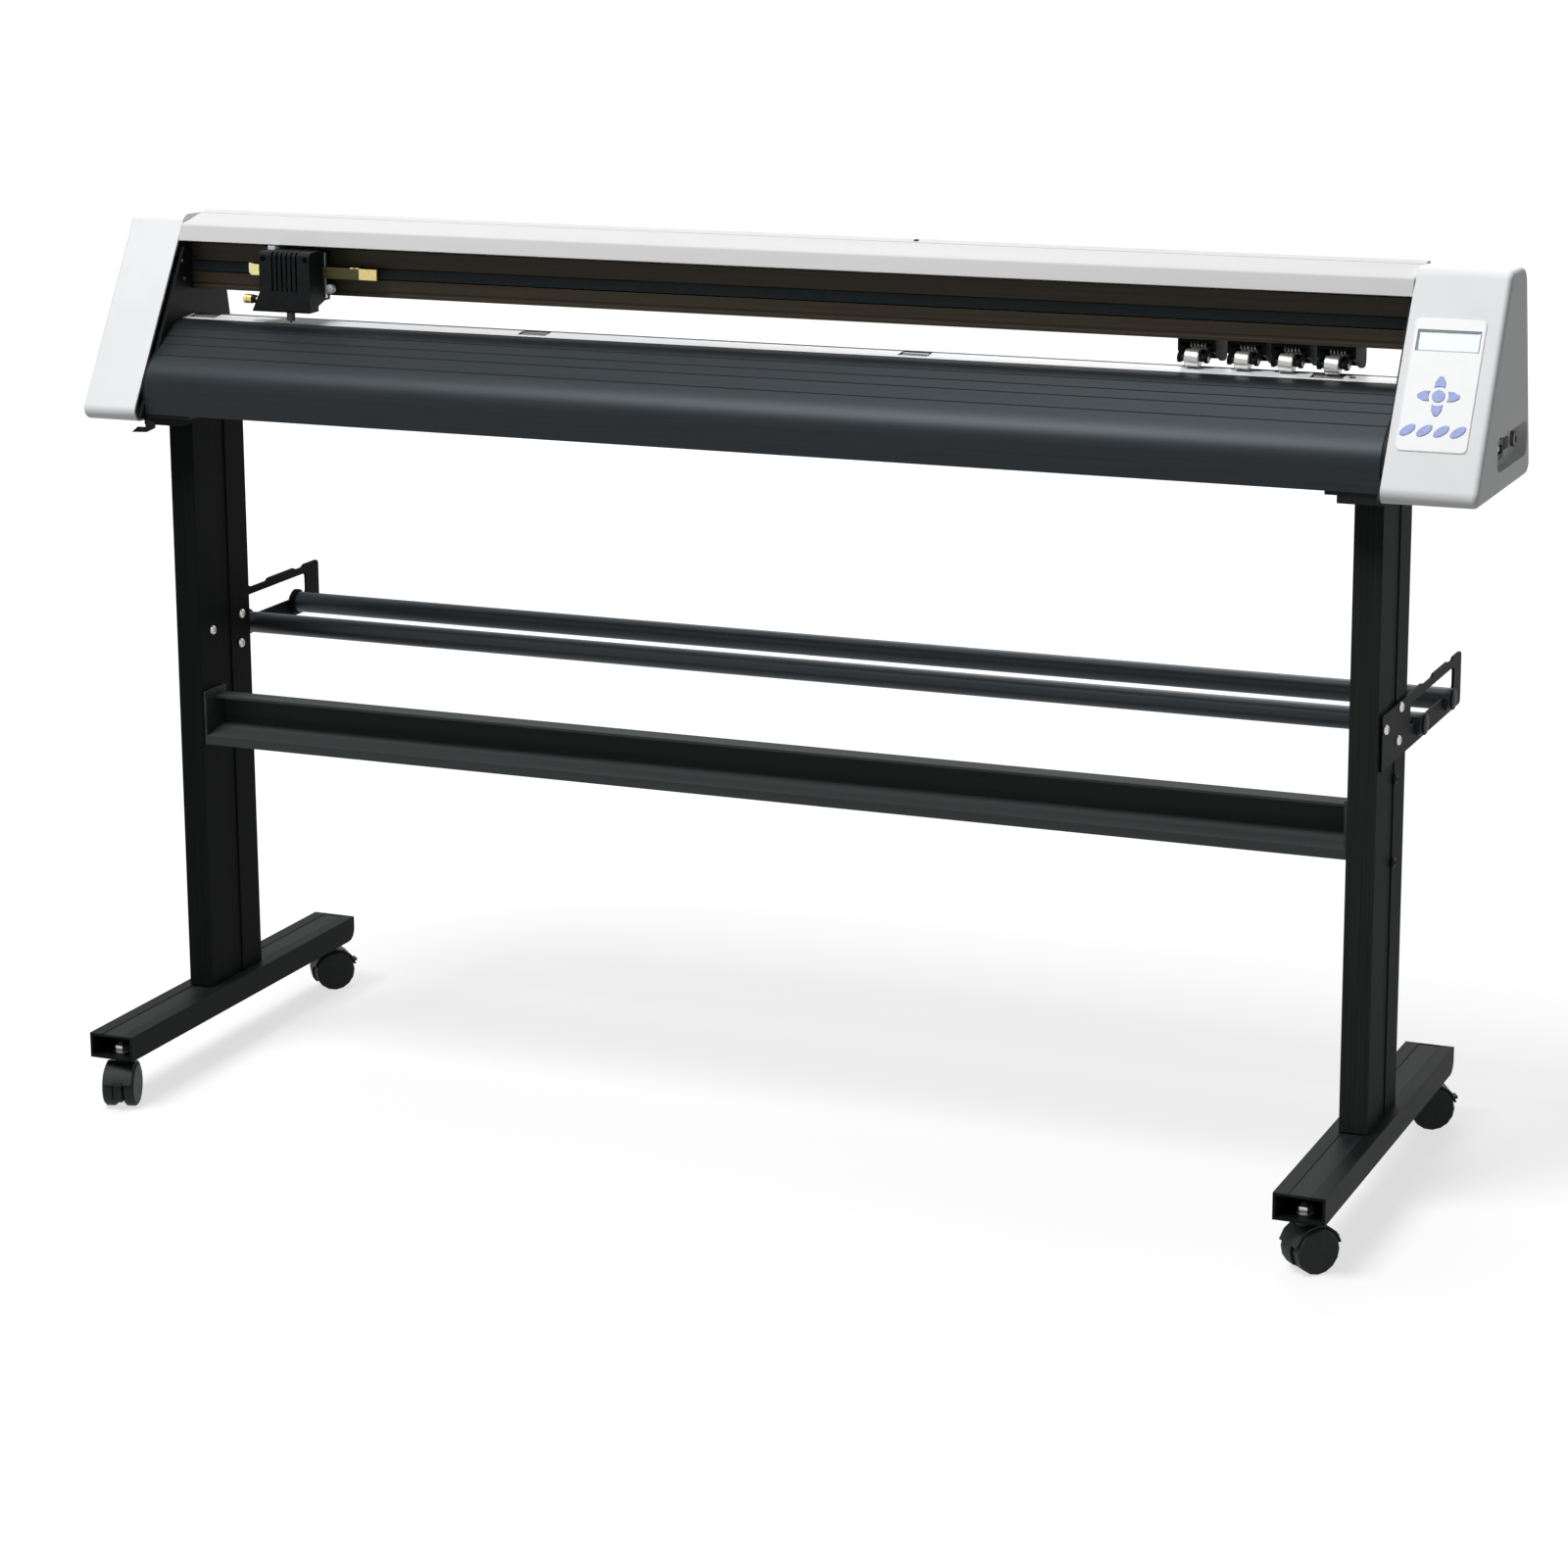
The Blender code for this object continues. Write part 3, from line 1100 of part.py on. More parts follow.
def idler_bracket():
    """The shelf and pin that carry the idler pulley outside the left plate."""
    half = IDLER_SHELF_WIDTH / 2
    top = belt_z - pulley_half - SEAT_GAP
    shelf_end = left_plate_outer + PLATE_THICKNESS / 2
    sides = (pulley_y - half, pulley_y + half, top - IDLER_SHELF_THICKNESS, top)
    shelf = box(idler_x - half, shelf_end, *sides)
    pin = cylinder("Z", idler_x, pulley_y, PULLEY_AXLE_DIAMETER, top - SEAT_GAP, belt_z + pulley_half)
    return [shelf, pin]


def stadium(radius):
    """The outline of a loop round both pulleys, at this distance from their axes."""
    points = []
    for x, start in ((drive_x, -math.pi / 2), (idler_x, math.pi / 2)):
        for i in range(BELT_STEPS + 1):
            turn = start + math.pi * i / BELT_STEPS
            points.append((x + radius * math.cos(turn), pulley_y + radius * math.sin(turn)))
    return points


def pulley_solid(x):
    rim = PULLEY_DIAMETER / 2
    flange = rim + PULLEY_FLANGE
    groove = pulley_half - PULLEY_FLANGE_THICKNESS
    steps = (
        (-pulley_half, flange),
        (-groove, flange),
        (-groove, rim),
        (groove, rim),
        (groove, flange),
        (pulley_half, flange),
    )
    return turned("Z", x, pulley_y, [(belt_z + rise, radius) for rise, radius in steps])


def make_belt_drive():
    """The toothless side of the belt shows: a loop through the beam, round an idler and a motor pulley."""
    low = belt_z - BELT_WIDTH / 2
    high = belt_z + BELT_WIDTH / 2
    loop = prism("Z", stadium(belt_half_depth), low, high)
    inside = prism("Z", stadium(belt_half_depth - BELT_THICKNESS), low - PAST, high + PAST)
    piece("timing_belt", cut(loop, inside), rubber)
    bore = hole("Z", idler_x, pulley_y, PULLEY_AXLE_DIAMETER, PIVOT_GAP, belt_z - PAST, belt_z + PAST)
    piece("idler_pulley", cut(pulley_solid(idler_x), bore), steel, (idler_x, pulley_y, belt_z))
    face = belt_z - pulley_half - MOTOR_FACE_GAP
    shaft_end = face - MOTOR_SHAFT_DEPTH
    shaft = cylinder("Z", drive_x, pulley_y, MOTOR_SHAFT_DIAMETER, shaft_end, belt_z)
    piece("drive_pulley", join(pulley_solid(drive_x), shaft), steel, (drive_x, pulley_y, belt_z))
    half = CARRIAGE_MOTOR_SIDE / 2
    foot = face - CARRIAGE_MOTOR_LENGTH
    sides = (pulley_y - half, pulley_y + half)
    body = box(drive_x - half, drive_x + half, *sides, foot, face)
    bracket = box(right_plate_outer + SEAT_GAP, drive_x - half + SEAT_GAP, *sides, foot, face)
    ends = (shaft_end - MOTOR_FACE_GAP, face + PAST)
    bore = hole("Z", drive_x, pulley_y, MOTOR_SHAFT_DIAMETER, PIVOT_GAP, *ends)
    piece("carriage_motor", cut(join(body, bracket), bore), black_plastic)


def gear_outline(y, z, teeth, first):
    """An involute spur gear about (y, z), with the middle of one tooth at the angle first."""
    pitch = GEAR_MODULE * teeth / 2
    base = pitch * math.cos(PRESSURE_ANGLE)
    tip = pitch + GEAR_ADDENDUM
    root = pitch - GEAR_DEDENDUM
    start = max(base, root)
    half_tooth = math.pi / (2 * teeth) - GEAR_BACKLASH / pitch
    roll = math.tan(PRESSURE_ANGLE) - PRESSURE_ANGLE
    flank = [(root, start)] + [(start + (tip - start) * share,) * 2 for share in (0, 0.5, 1)]
    side = []
    for radius, at in flank[0 if root < start else 1 :]:
        pressure = math.acos(min(1, base / at))
        side.append((radius, half_tooth + roll - math.tan(pressure) + pressure))
    points = []
    for tooth in range(teeth):
        middle = first + 2 * math.pi * tooth / teeth
        for radius, angle in [(r, -a) for r, a in side] + side[::-1]:
            points.append((y + radius * math.cos(middle + angle), z + radius * math.sin(middle + angle)))
    return points


def make_roller_drive():
    """The grit roller with its gear outside the right plate, the motor below it, and the motor's pinion."""
    shaft = ROLLER_SHAFT_DIAMETER / 2
    journal = JOURNAL_DIAMETER / 2
    drum = DRUM_DIAMETER / 2
    gear_near = right_plate_outer + GEAR_GAP
    gear_far = gear_near + GEAR_WIDTH
    profile = [(left_plate_outer, journal), (span_left, journal), (span_left, shaft)]
    for x in drum_places:
        near = x - DRUM_LENGTH / 2
        far = x + DRUM_LENGTH / 2
        profile += [(near, shaft), (near, drum), (far, drum), (far, shaft)]
    profile += [(span_right, shaft), (span_right, journal), (gear_far + GEAR_GAP, journal)]
    roller = turned("X", ROLLER_Y, roller_z, profile)
    down = -math.pi / 2
    gear = prism("X", gear_outline(ROLLER_Y, roller_z, GEAR_TEETH, down), gear_near, gear_far)
    piece("drive_roller", join(roller, gear), steel, (0, ROLLER_Y, roller_z))
    first = math.pi / 2 + math.pi / PINION_TEETH
    pinion = prism("X", gear_outline(ROLLER_Y, roller_motor_z, PINION_TEETH, first), gear_near, gear_far)
    face = gear_far + MOTOR_FACE_GAP
    shaft_end = face + MOTOR_SHAFT_DEPTH
    ends = (gear_far - GEAR_WIDTH / 2, shaft_end)
    stub = cylinder("X", ROLLER_Y, roller_motor_z, MOTOR_SHAFT_DIAMETER, *ends)
    piece("roller_pinion", join(pinion, stub), brass, (gear_near, ROLLER_Y, roller_motor_z))
    half = ROLLER_MOTOR_SIDE / 2
    sides = (ROLLER_Y - half, ROLLER_Y + half)
    body = box(face, face + ROLLER_MOTOR_LENGTH, *sides, roller_motor_z - half, roller_motor_z + half)
    corner = half - ROLLER_MOTOR_POST_INSET
    ends = (right_plate_outer + SEAT_GAP, face + MOTOR_FACE_GAP)
    posts = []
    for across in (-corner, corner):
        for up in (-corner, corner):
            middle = (ROLLER_Y + across, roller_motor_z + up)
            posts.append(cylinder("X", *middle, ROLLER_MOTOR_POST, *ends, POST_SIDES))
    ends = (face - PAST, shaft_end + MOTOR_FACE_GAP)
    bore = hole("X", ROLLER_Y, roller_motor_z, MOTOR_SHAFT_DIAMETER, PIVOT_GAP, *ends)
    piece("roller_motor", cut(join(body, *posts), bore), black_plastic)


def make_carriage():
    """The plate with its belt clamp bar and tool block, the cover, the holder and the clamp screw."""
    x = carriage_x
    half = CARRIAGE_WIDTH / 2
    low = head_bottom + CARRIAGE_Z
    top = low + CARRIAGE_HEIGHT
    back_low = low + CARRIAGE_BACK_LIFT
    front = CARRIAGE_FRONT_Y
    back = CARRIAGE_BACK_Y
    plate_front = back + SEAT_GAP
    plate = box(x - half, x + half, plate_front, BEAM_FRONT_Y - SEAT_GAP, back_low, top - CARRIAGE_WALL)
    bar_x = x + CLAMP_BAR_OFFSET
    bar = CLAMP_BAR_LENGTH / 2
    bar_low = belt_z + CLAMP_BAR_RISE - CLAMP_BAR_HEIGHT / 2
    bar_high = bar_low + CLAMP_BAR_HEIGHT
    bar_front = plate_front - CLAMP_BAR_DEPTH / 2
    clamp_bar = box(bar_x - bar, bar_x + bar, bar_front, bar_front + CLAMP_BAR_DEPTH, bar_low, bar_high)
    grip = BELT_SLOT_HEIGHT / 2 - BELT_LIP
    belt_face = BEAM_FRONT_Y + BELT_FRONT_SETBACK
    tongue_half = TONGUE_LENGTH / 2
    sides = (plate_front, belt_face - SEAT_GAP, belt_z - grip, belt_z + grip)
    tongue = box(x - tongue_half, x + tongue_half, *sides)
    block_front = front + CARRIAGE_WALL + SEAT_GAP
    block_back = block_front + TOOL_BLOCK_DEPTH
    block_left = x - half - TOOL_BLOCK_FLARE
    block_right = x + half - CARRIAGE_WALL - SEAT_GAP
    block_top = low + TOOL_BLOCK_HEIGHT
    flared = (
        (block_left, low),
        (block_right, low),
        (block_right, block_top),
        (x - half - SEAT_GAP, block_top),
    )
    block = prism("Y", flared, block_front, block_back)
    riser_top = back_low + TOOL_BLOCK_HEIGHT
    sides = (block_back - CARRIAGE_WALL, plate_front + CARRIAGE_WALL, back_low, riser_top)
    riser = box(x - tongue_half, x + tongue_half, *sides)
    holder_y = (block_front + block_back) / 2
    screw_z = (low + block_top) / 2
    holder_hole = hole("Z", x, holder_y, HOLDER_DIAMETER, SEAT_GAP, low - PAST, block_top + PAST)
    screw_hole = hole("X", holder_y, screw_z, CLAMP_SCREW_DIAMETER, PIVOT_GAP, block_left - PAST, x)
    plate = cut(join(plate, clamp_bar, tongue, block, riser), holder_hole, screw_hole)
    piece("carriage_plate", plate, black_plastic, (x, BEAM_FRONT_Y, belt_z))

    corners = (
        (front, low, CARRIAGE_WALL),
        (back, back_low, 0),
        (back, top, 0),
        (front, top, CARRIAGE_BROW_RADIUS),
    )
    cover = prism("X", rounded(corners), x - half, x + half)
    inner = half - CARRIAGE_WALL
    sides = (front + CARRIAGE_WALL, back + PAST, low - PAST, top - CARRIAGE_WALL)
    cutters = [box(x - inner, x + inner, *sides)]
    for i in range(CARRIAGE_VENTS):
        vent = x + VENT_PITCH * (i - (CARRIAGE_VENTS - 1) / 2)
        sides = (vent - VENT_WIDTH / 2, vent + VENT_WIDTH / 2)
        cutters.append(box(*sides, front - PAST, front + VENT_REACH, top - VENT_LENGTH, top + PAST))
    bar_room = (bar_front - SEAT_GAP, back + PAST, bar_low - SEAT_GAP, bar_high + SEAT_GAP)
    cutters.append(box(x - half - PAST, x + half + PAST, *bar_room))
    block_room = (block_front - SEAT_GAP, block_back + SEAT_GAP, low - PAST, block_top + SEAT_GAP)
    cutters.append(box(x - half - PAST, x, *block_room))
    piece("carriage_cover", cut(cover, *cutters), black_plastic)

    floor = head_bottom + PLATEN_CREST_Z + strip_slope * (holder_y - PLATEN_CREST_Y)
    tip = floor + BLADE_CLEARANCE + BLADE_TRAVEL
    shoulder = tip + HOLDER_TIP_LENGTH
    collar = block_top + BLADE_TRAVEL + SEAT_GAP
    body = HOLDER_DIAMETER / 2
    profile = (
        (tip, HOLDER_TIP_DIAMETER / 4),
        (shoulder, HOLDER_TIP_DIAMETER / 2),
        (shoulder, body),
        (collar, body),
        (collar, HOLDER_COLLAR_DIAMETER / 2),
        (collar + HOLDER_COLLAR_HEIGHT, HOLDER_COLLAR_DIAMETER / 2),
        (collar + HOLDER_COLLAR_HEIGHT, body),
        (shoulder + HOLDER_LENGTH, body),
    )
    piece("blade_holder", turned("Z", x, holder_y, profile), steel, (x, holder_y, shoulder))
    head_face = block_left - CLAMP_NECK
    thread = CLAMP_SCREW_DIAMETER / 2
    head = CLAMP_HEAD_DIAMETER / 2
    profile = (
        (head_face - CLAMP_HEAD_LENGTH, head - SEAT_GAP),
        (head_face - CLAMP_HEAD_LENGTH + SEAT_GAP, head),
        (head_face, head),
        (head_face, thread),
        (x - body - SEAT_GAP, thread),
    )
    piece("clamp_screw", turned("X", holder_y, screw_z, profile), brass, (head_face, holder_y, screw_z))


def link(y0, z0, radius0, y1, z1, radius1):
    """The outline of a lever: two round ends joined by straight sides."""
    heading = math.atan2(z1 - z0, y1 - y0)
    spread = math.acos((radius0 - radius1) / math.hypot(y1 - y0, z1 - z0))
    points = []
    for y, z, radius, start, sweep in (
        (y0, z0, radius0, heading + spread, 2 * (math.pi - spread)),
        (y1, z1, radius1, heading - spread, 2 * spread),
    ):
        for i in range(LINK_STEPS + 1):
            turn = start + sweep * i / LINK_STEPS
            points.append((y + radius * math.cos(turn), z + radius * math.sin(turn)))
    return points


def spring_points(x):
    """The wire of a torsion spring: a leg in the arm, curls round the pivot, a leg under the bracket."""
    mean = SPRING_DIAMETER / 2
    start = x - SPRING_LENGTH / 2
    arm_inner = x - pinch_arm_outer + PINCH_ARM_THICKNESS
    points = [(arm_inner - PINCH_ARM_THICKNESS / 2, PINCH_PIVOT_Y + mean, pinch_pivot_z)]
    steps = SPRING_CURLS * SPRING_POINTS
    for i in range(steps + 1):
        turn = 2 * math.pi * i / SPRING_POINTS
        place = start + SPRING_LENGTH * i / steps
        points.append((place, PINCH_PIVOT_Y + mean * math.cos(turn), pinch_pivot_z + mean * math.sin(turn)))
    end_x = points[-1][0]
    leg_z = pinch_ceiling - SEAT_GAP - SPRING_WIRE / 2
    points.append((end_x, PINCH_PIVOT_Y + mean, leg_z - SPRING_WIRE))
    points.append((end_x, PINCH_PIVOT_Y + mean + SPRING_LEG / 4, leg_z))
    points.append((end_x, PINCH_PIVOT_Y + mean + SPRING_LEG, leg_z))
    return points


def least_gap(points, thickness):
    """The least gap between stretches of a wire that are not neighbours."""
    path = [Vector(point) for point in points]
    far = SPRING_POINTS // 2
    gaps = []
    for i, one in enumerate(path):
        gaps += [(one - other).length for other in path[i + far :]]
    return min(gaps) - thickness


def wire(points, thickness):
    """A tube along the points."""
    curve = bpy.data.curves.new("wire", "CURVE")
    curve.dimensions = "3D"
    curve.bevel_depth = thickness / 2
    curve.bevel_resolution = 1
    curve.use_fill_caps = True
    spline = curve.splines.new("POLY")
    spline.points.add(len(points) - 1)
    for point, place in zip(spline.points, points):
        point.co = (*place, 1)
    guide = bpy.data.objects.new("wire", curve)
    bpy.context.scene.collection.objects.link(guide)
    graph = bpy.context.evaluated_depsgraph_get()
    bm = bmesh.new()
    bm.from_mesh(bpy.data.meshes.new_from_object(guide.evaluated_get(graph)))
    bpy.data.objects.remove(guide)
    bmesh.ops.remove_doubles(bm, verts=bm.verts, dist=WELD)
    return object_of(bm)


def make_pinch_bracket(name, x):
    """A saddle that slides in the beam's T slot: a top, two cheeks with a round rear lobe, a back wall."""
    half = PINCH_WIDTH / 2
    top = beam_bottom - SEAT_GAP
    low = beam_bottom - PINCH_CHEEK_DROP
    lobe_low = beam_bottom - PINCH_LOBE_DROP
    cheek_outline = rounded((
        (PINCH_FRONT_Y, low + PINCH_LOBE_RADIUS / 2, 0),
        (PINCH_PIVOT_Y, low, PINCH_LOBE_RADIUS),
        (PINCH_BACK_Y - 2 * PINCH_LOBE_RADIUS, lobe_low, PINCH_LOBE_RADIUS),
        (PINCH_BACK_Y, lobe_low, PINCH_LOBE_RADIUS),
        (PINCH_BACK_Y, top, 0),
        (PINCH_FRONT_Y, top, 0),
    ))
    saddle = prism("X", cheek_outline, x - half, x + half)
    inner = half - PINCH_CHEEK
    back = PINCH_BACK_Y - PINCH_CHEEK
    room = box(x - inner, x + inner, PINCH_FRONT_Y - PAST, back, lobe_low - PAST, pinch_ceiling)
    ends = (x - half - PAST, x + half + PAST)
    bore = hole("X", PINCH_PIVOT_Y, pinch_pivot_z, PINCH_PIVOT_DIAMETER, PIVOT_GAP, *ends, PIN_SIDES)
    neck = T_SLOT_NECK / 2 - SEAT_GAP
    head = T_SLOT_HEAD / 2 - SEAT_GAP
    shelf = beam_bottom + T_SLOT_NECK_DEPTH + SEAT_GAP
    ceiling = beam_bottom + T_SLOT_NECK_DEPTH + T_SLOT_HEAD_DEPTH - SEAT_GAP
    tongue = (
        (t_slot_y - neck, top - PINCH_TOP / 2),
        (t_slot_y + neck, top - PINCH_TOP / 2),
        (t_slot_y + neck, shelf),
        (t_slot_y + head, shelf),
        (t_slot_y + head, ceiling),
        (t_slot_y - head, ceiling),
        (t_slot_y - head, shelf),
        (t_slot_y - neck, shelf),
    )
    runner = prism("X", tongue, x - half + PINCH_CHEEK, x + half - PINCH_CHEEK)
    saddle = join(cut(saddle, room, bore), runner)
    piece(name, saddle, black_plastic, (x, t_slot_y, beam_bottom))


def make_pinch_arm(name, x):
    """Two levers on one pivot pin, a web between them, and the spring wound on the pin."""
    inner = pinch_arm_outer - PINCH_ARM_THICKNESS
    eye = PINCH_AXLE_DIAMETER
    outline = link(ROLLER_Y, pinch_roller_z, eye, PINCH_PIVOT_Y, pinch_pivot_z, PINCH_PIVOT_EYE)
    near = prism("X", outline, x - pinch_arm_outer, x - inner)
    far = prism("X", outline, x + inner, x + pinch_arm_outer)
    web_front = ROLLER_Y + PINCH_ROLLER_DIAMETER / 2 + PINCH_WEB_GAP
    web_sides = (x - inner - PINCH_WEB_GAP, x + inner + PINCH_WEB_GAP)
    web = box(*web_sides, web_front, web_front + PINCH_WEB, pinch_roller_z, pinch_roller_z + PINCH_WEB)
    half = PINCH_WIDTH / 2
    pin = cylinder("X", PINCH_PIVOT_Y, pinch_pivot_z, PINCH_PIVOT_DIAMETER, x - half, x + half, PIN_SIDES)
    points = spring_points(x)
    arm = join(near, far, web, pin, wire(points, SPRING_WIRE))
    bore = hole("X", ROLLER_Y, pinch_roller_z, PINCH_AXLE_DIAMETER, PIVOT_GAP, x - half, x + half)
    piece(name, cut(arm, bore), dark_steel, (x, PINCH_PIVOT_Y, pinch_pivot_z))
    print(name, "spring, least gap to itself in mm:", round(1000 * least_gap(points[1:-3], SPRING_WIRE), 3))


def make_pinch_roller(name, x):
    rim = PINCH_ROLLER_DIAMETER / 2
    axle = PINCH_AXLE_DIAMETER / 2
    half = PINCH_ROLLER_WIDTH / 2
    half_profile = (
        (pinch_arm_outer, axle),
        (half, axle),
        (half, rim - PINCH_ROLLER_BEVEL),
        (half - PINCH_ROLLER_BEVEL, rim),
    )
    left_half = [(x - distance, radius) for distance, radius in half_profile]
    right_half = [(x + distance, radius) for distance, radius in half_profile[::-1]]
    roller = turned("X", ROLLER_Y, pinch_roller_z, left_half + right_half)
    piece(name, roller, steel, (x, ROLLER_Y, pinch_roller_z))


def make_head():
    make_left_cap()
    make_right_cap()
    make_panel()
    make_board()
    make_beam()
    make_cover()
    make_platen()
    make_side_plate("left_side_plate", left_plate_outer, left_plate_inner)
    make_side_plate("right_side_plate", right_plate_outer, right_plate_inner)
    make_belt_drive()
    make_roller_drive()
    make_carriage()
    for number, x in enumerate(pinch_places, 1):
        make_pinch_bracket("pinch_bracket_" + str(number), x)
        make_pinch_arm("pinch_arm_" + str(number), x)
        make_pinch_roller("pinch_roller_" + str(number), x)


clear_scene()
white_plastic = material("white_plastic", (0.86, 0.86, 0.85), 0.4, 0)
black_plastic = material("black_plastic", (0.02, 0.02, 0.022), 0.45, 0)
black_paint = material("black_paint", (0.025, 0.024, 0.024), 0.5, 0)
black_platen = material("black_platen", (0.03, 0.035, 0.042), 0.4, 0.4)
bronze = material("bronze", (0.10, 0.075, 0.05), 0.4, 0.6)
steel = material("steel", (0.7, 0.7, 0.7), 0.3, 1)
dark_steel = material("dark_steel", (0.05, 0.05, 0.05), 0.4, 0.8)
brass = material("brass", (0.75, 0.55, 0.18), 0.3, 1)
rubber = material("rubber", (0.02, 0.024, 0.035), 0.7, 0)
blue_plastic = material("blue_plastic", (0.42, 0.48, 0.80), 0.45, 0)
pale_glass = material("pale_glass", (0.70, 0.80, 0.80), 0.15, 0)
green_board = material("green_board", (0.05, 0.25, 0.10), 0.5, 0)
make_stand()
make_head()
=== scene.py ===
import math

import bmesh
import bpy
from mathutils import Matrix, Vector


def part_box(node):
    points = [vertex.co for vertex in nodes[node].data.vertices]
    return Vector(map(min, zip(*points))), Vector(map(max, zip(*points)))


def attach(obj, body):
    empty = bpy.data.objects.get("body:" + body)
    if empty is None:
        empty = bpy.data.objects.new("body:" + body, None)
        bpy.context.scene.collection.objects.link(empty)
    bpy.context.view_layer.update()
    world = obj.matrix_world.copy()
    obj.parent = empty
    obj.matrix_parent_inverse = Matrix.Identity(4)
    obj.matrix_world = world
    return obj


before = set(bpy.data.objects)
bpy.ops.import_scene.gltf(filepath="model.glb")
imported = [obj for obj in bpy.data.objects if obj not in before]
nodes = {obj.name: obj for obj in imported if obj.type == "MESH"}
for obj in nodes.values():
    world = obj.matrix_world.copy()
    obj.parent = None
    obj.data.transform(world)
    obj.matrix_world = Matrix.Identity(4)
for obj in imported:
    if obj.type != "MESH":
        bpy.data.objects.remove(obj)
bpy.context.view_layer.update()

# Places on the machine, in metres
HEAD_BOTTOM = 0.7883
HEAD_RIGHT = 0.820
RIGHT_CAP_WIDTH = 0.100
CAP_FRONT_Y = -0.1284
CAP_HEIGHT = 0.2234
CAP_LEAN = 0.1358
STANDS = {"left": -0.7233, "right": 0.6943}
CASTERS_Y = {"front": -0.2465, "rear": 0.2465}
MEDIA_BARS_Y = {"front": 0.0975, "rear": 0.2225}
MEDIA_BAR_Z = 0.506
DRUMS_X = (-0.722, -0.292, 0.169, 0.630)
PINCHES_X = {1: 0.4824, 2: 0.5371, 3: 0.5849, 4: 0.6343}
# A dressed piece stands this far off what carries it
SEAT = 0.0002
# Names with LOOK in them, below, say where a ray that finds a surface starts
# Edges of the frame sharper than this stay sharp; mouldings have rounder edges
SHARP = math.radians(27)
MOULDED_SHARP = math.radians(42)
MOULDED = ("left_end_cap", "right_end_cap")
# Edges of dressed pieces sharper than this stay sharp
PIECE_SHARP = math.radians(35)
# Points closer than this are one point
WELD = 1e-6


# Shading of the frame


def add(tree, kind, **values):
    """A new node with some of its settings or inputs."""
    node = tree.nodes.new(kind)
    for key, value in values.items():
        if hasattr(node, key):
            setattr(node, key, value)
        else:
            node.inputs[key].default_value = value
    return node


def make_smoother(name, sharp):
    """A modifier group that shades a mesh smooth between its sharp edges and leaves every point in place."""
    group = bpy.data.node_groups.new(name, "GeometryNodeTree")
    group.interface.new_socket("Geometry", in_out="INPUT", socket_type="NodeSocketGeometry")
    group.interface.new_socket("Geometry", in_out="OUTPUT", socket_type="NodeSocketGeometry")
    source = add(group, "NodeGroupInput")
    weld = add(group, "GeometryNodeMergeByDistance", Distance=WELD)
    plain = add(group, "GeometryNodeRemoveAttribute", Name="custom_normal")
    faces = add(group, "GeometryNodeSetShadeSmooth", domain="FACE")
    angle = add(group, "GeometryNodeInputMeshEdgeAngle")
    compare = add(group, "ShaderNodeMath", operation="GREATER_THAN")
    compare.inputs[1].default_value = sharp
    edges = add(group, "GeometryNodeSetShadeSmooth", domain="EDGE")
    edges.inputs["Shade Smooth"].default_value = False
    sink = add(group, "NodeGroupOutput")
    chain = (source, weld, plain, faces, edges, sink)
    for one, two in zip(chain, chain[1:]):
        group.links.new(one.outputs[0], two.inputs[0])
    group.links.new(angle.outputs["Unsigned Angle"], compare.inputs[0])
    group.links.new(compare.outputs[0], edges.inputs["Selection"])
    return group


def smooth_frame():
    """Shades every node of the frame; flat faces stay flat beside rounded ones."""
    crisp = make_smoother("smooth_between_edges", SHARP)
    moulded = make_smoother("smooth_mouldings", MOULDED_SHARP)
    for name, node in nodes.items():
        modifier = node.modifiers.new("smooth", "NODES")
        modifier.node_group = moulded if name in MOULDED else crisp
        flat = node.modifiers.new("flat_faces", "WEIGHTED_NORMAL")
        flat.keep_sharp = True


smooth_frame()


# Materials

# Cosines between the rounded and the true normal, on a flat face and where an edge's colour is changed most,
# for wear and painted highlight
FLAT_COSINE = 0.999
EDGE_COLOUR_COSINE = 0.90
# Levels of detail in the noise of the colour, of the recoloured edges (wear and painted highlight) and of the
# grain
MOTTLE_DETAIL = 4.0
EDGE_PATCH_DETAIL = 2.0
GRAIN_DETAIL = 3.0
# Places of the two colours on the ramp of the noise
MOTTLE_STOPS = (0.3, 0.7)
# How much finer the noise of the recoloured edges is than that of the colour
EDGE_PATCH_FINENESS = 3
GRAIN_DEPTH = 0.0002
BEVEL_SAMPLES = 4


def noise_of(tree, scale, stretch, detail):
    """Noise in the frame's own metres, stretched along the axes."""
    place = add(tree, "ShaderNodeTexCoord")
    mapping = add(tree, "ShaderNodeMapping")
    mapping.inputs["Scale"].default_value = stretch
    noise = add(tree, "ShaderNodeTexNoise")
    noise.inputs["Scale"].default_value = scale
    noise.inputs["Detail"].default_value = detail
    tree.links.new(place.outputs["Object"], mapping.inputs["Vector"])
    tree.links.new(mapping.outputs["Vector"], noise.inputs["Vector"])
    return noise.outputs["Fac"]


def ramp_of(tree, factor, stops):
    """A blend of two colours over a factor, each with its place on the ramp."""
    ramp = add(tree, "ShaderNodeValToRGB")
    for element, (place, colour) in zip(ramp.color_ramp.elements, stops):
        element.position = place
        element.color = (*colour, 1)
    tree.links.new(factor, ramp.inputs["Fac"])
    return ramp.outputs["Color"]


def edge_mask(tree, bevel):
    """1 along sharp edges, 0 on flat faces."""
    shape = add(tree, "ShaderNodeNewGeometry")
    dot = add(tree, "ShaderNodeVectorMath", operation="DOT_PRODUCT")
    spread = add(tree, "ShaderNodeMapRange")
    spread.inputs["From Min"].default_value = FLAT_COSINE
    spread.inputs["From Max"].default_value = EDGE_COLOUR_COSINE
    tree.links.new(bevel.outputs["Normal"], dot.inputs[0])
    tree.links.new(shape.outputs["Normal"], dot.inputs[1])
    tree.links.new(dot.outputs["Value"], spread.inputs["Value"])
    return spread.outputs["Result"]


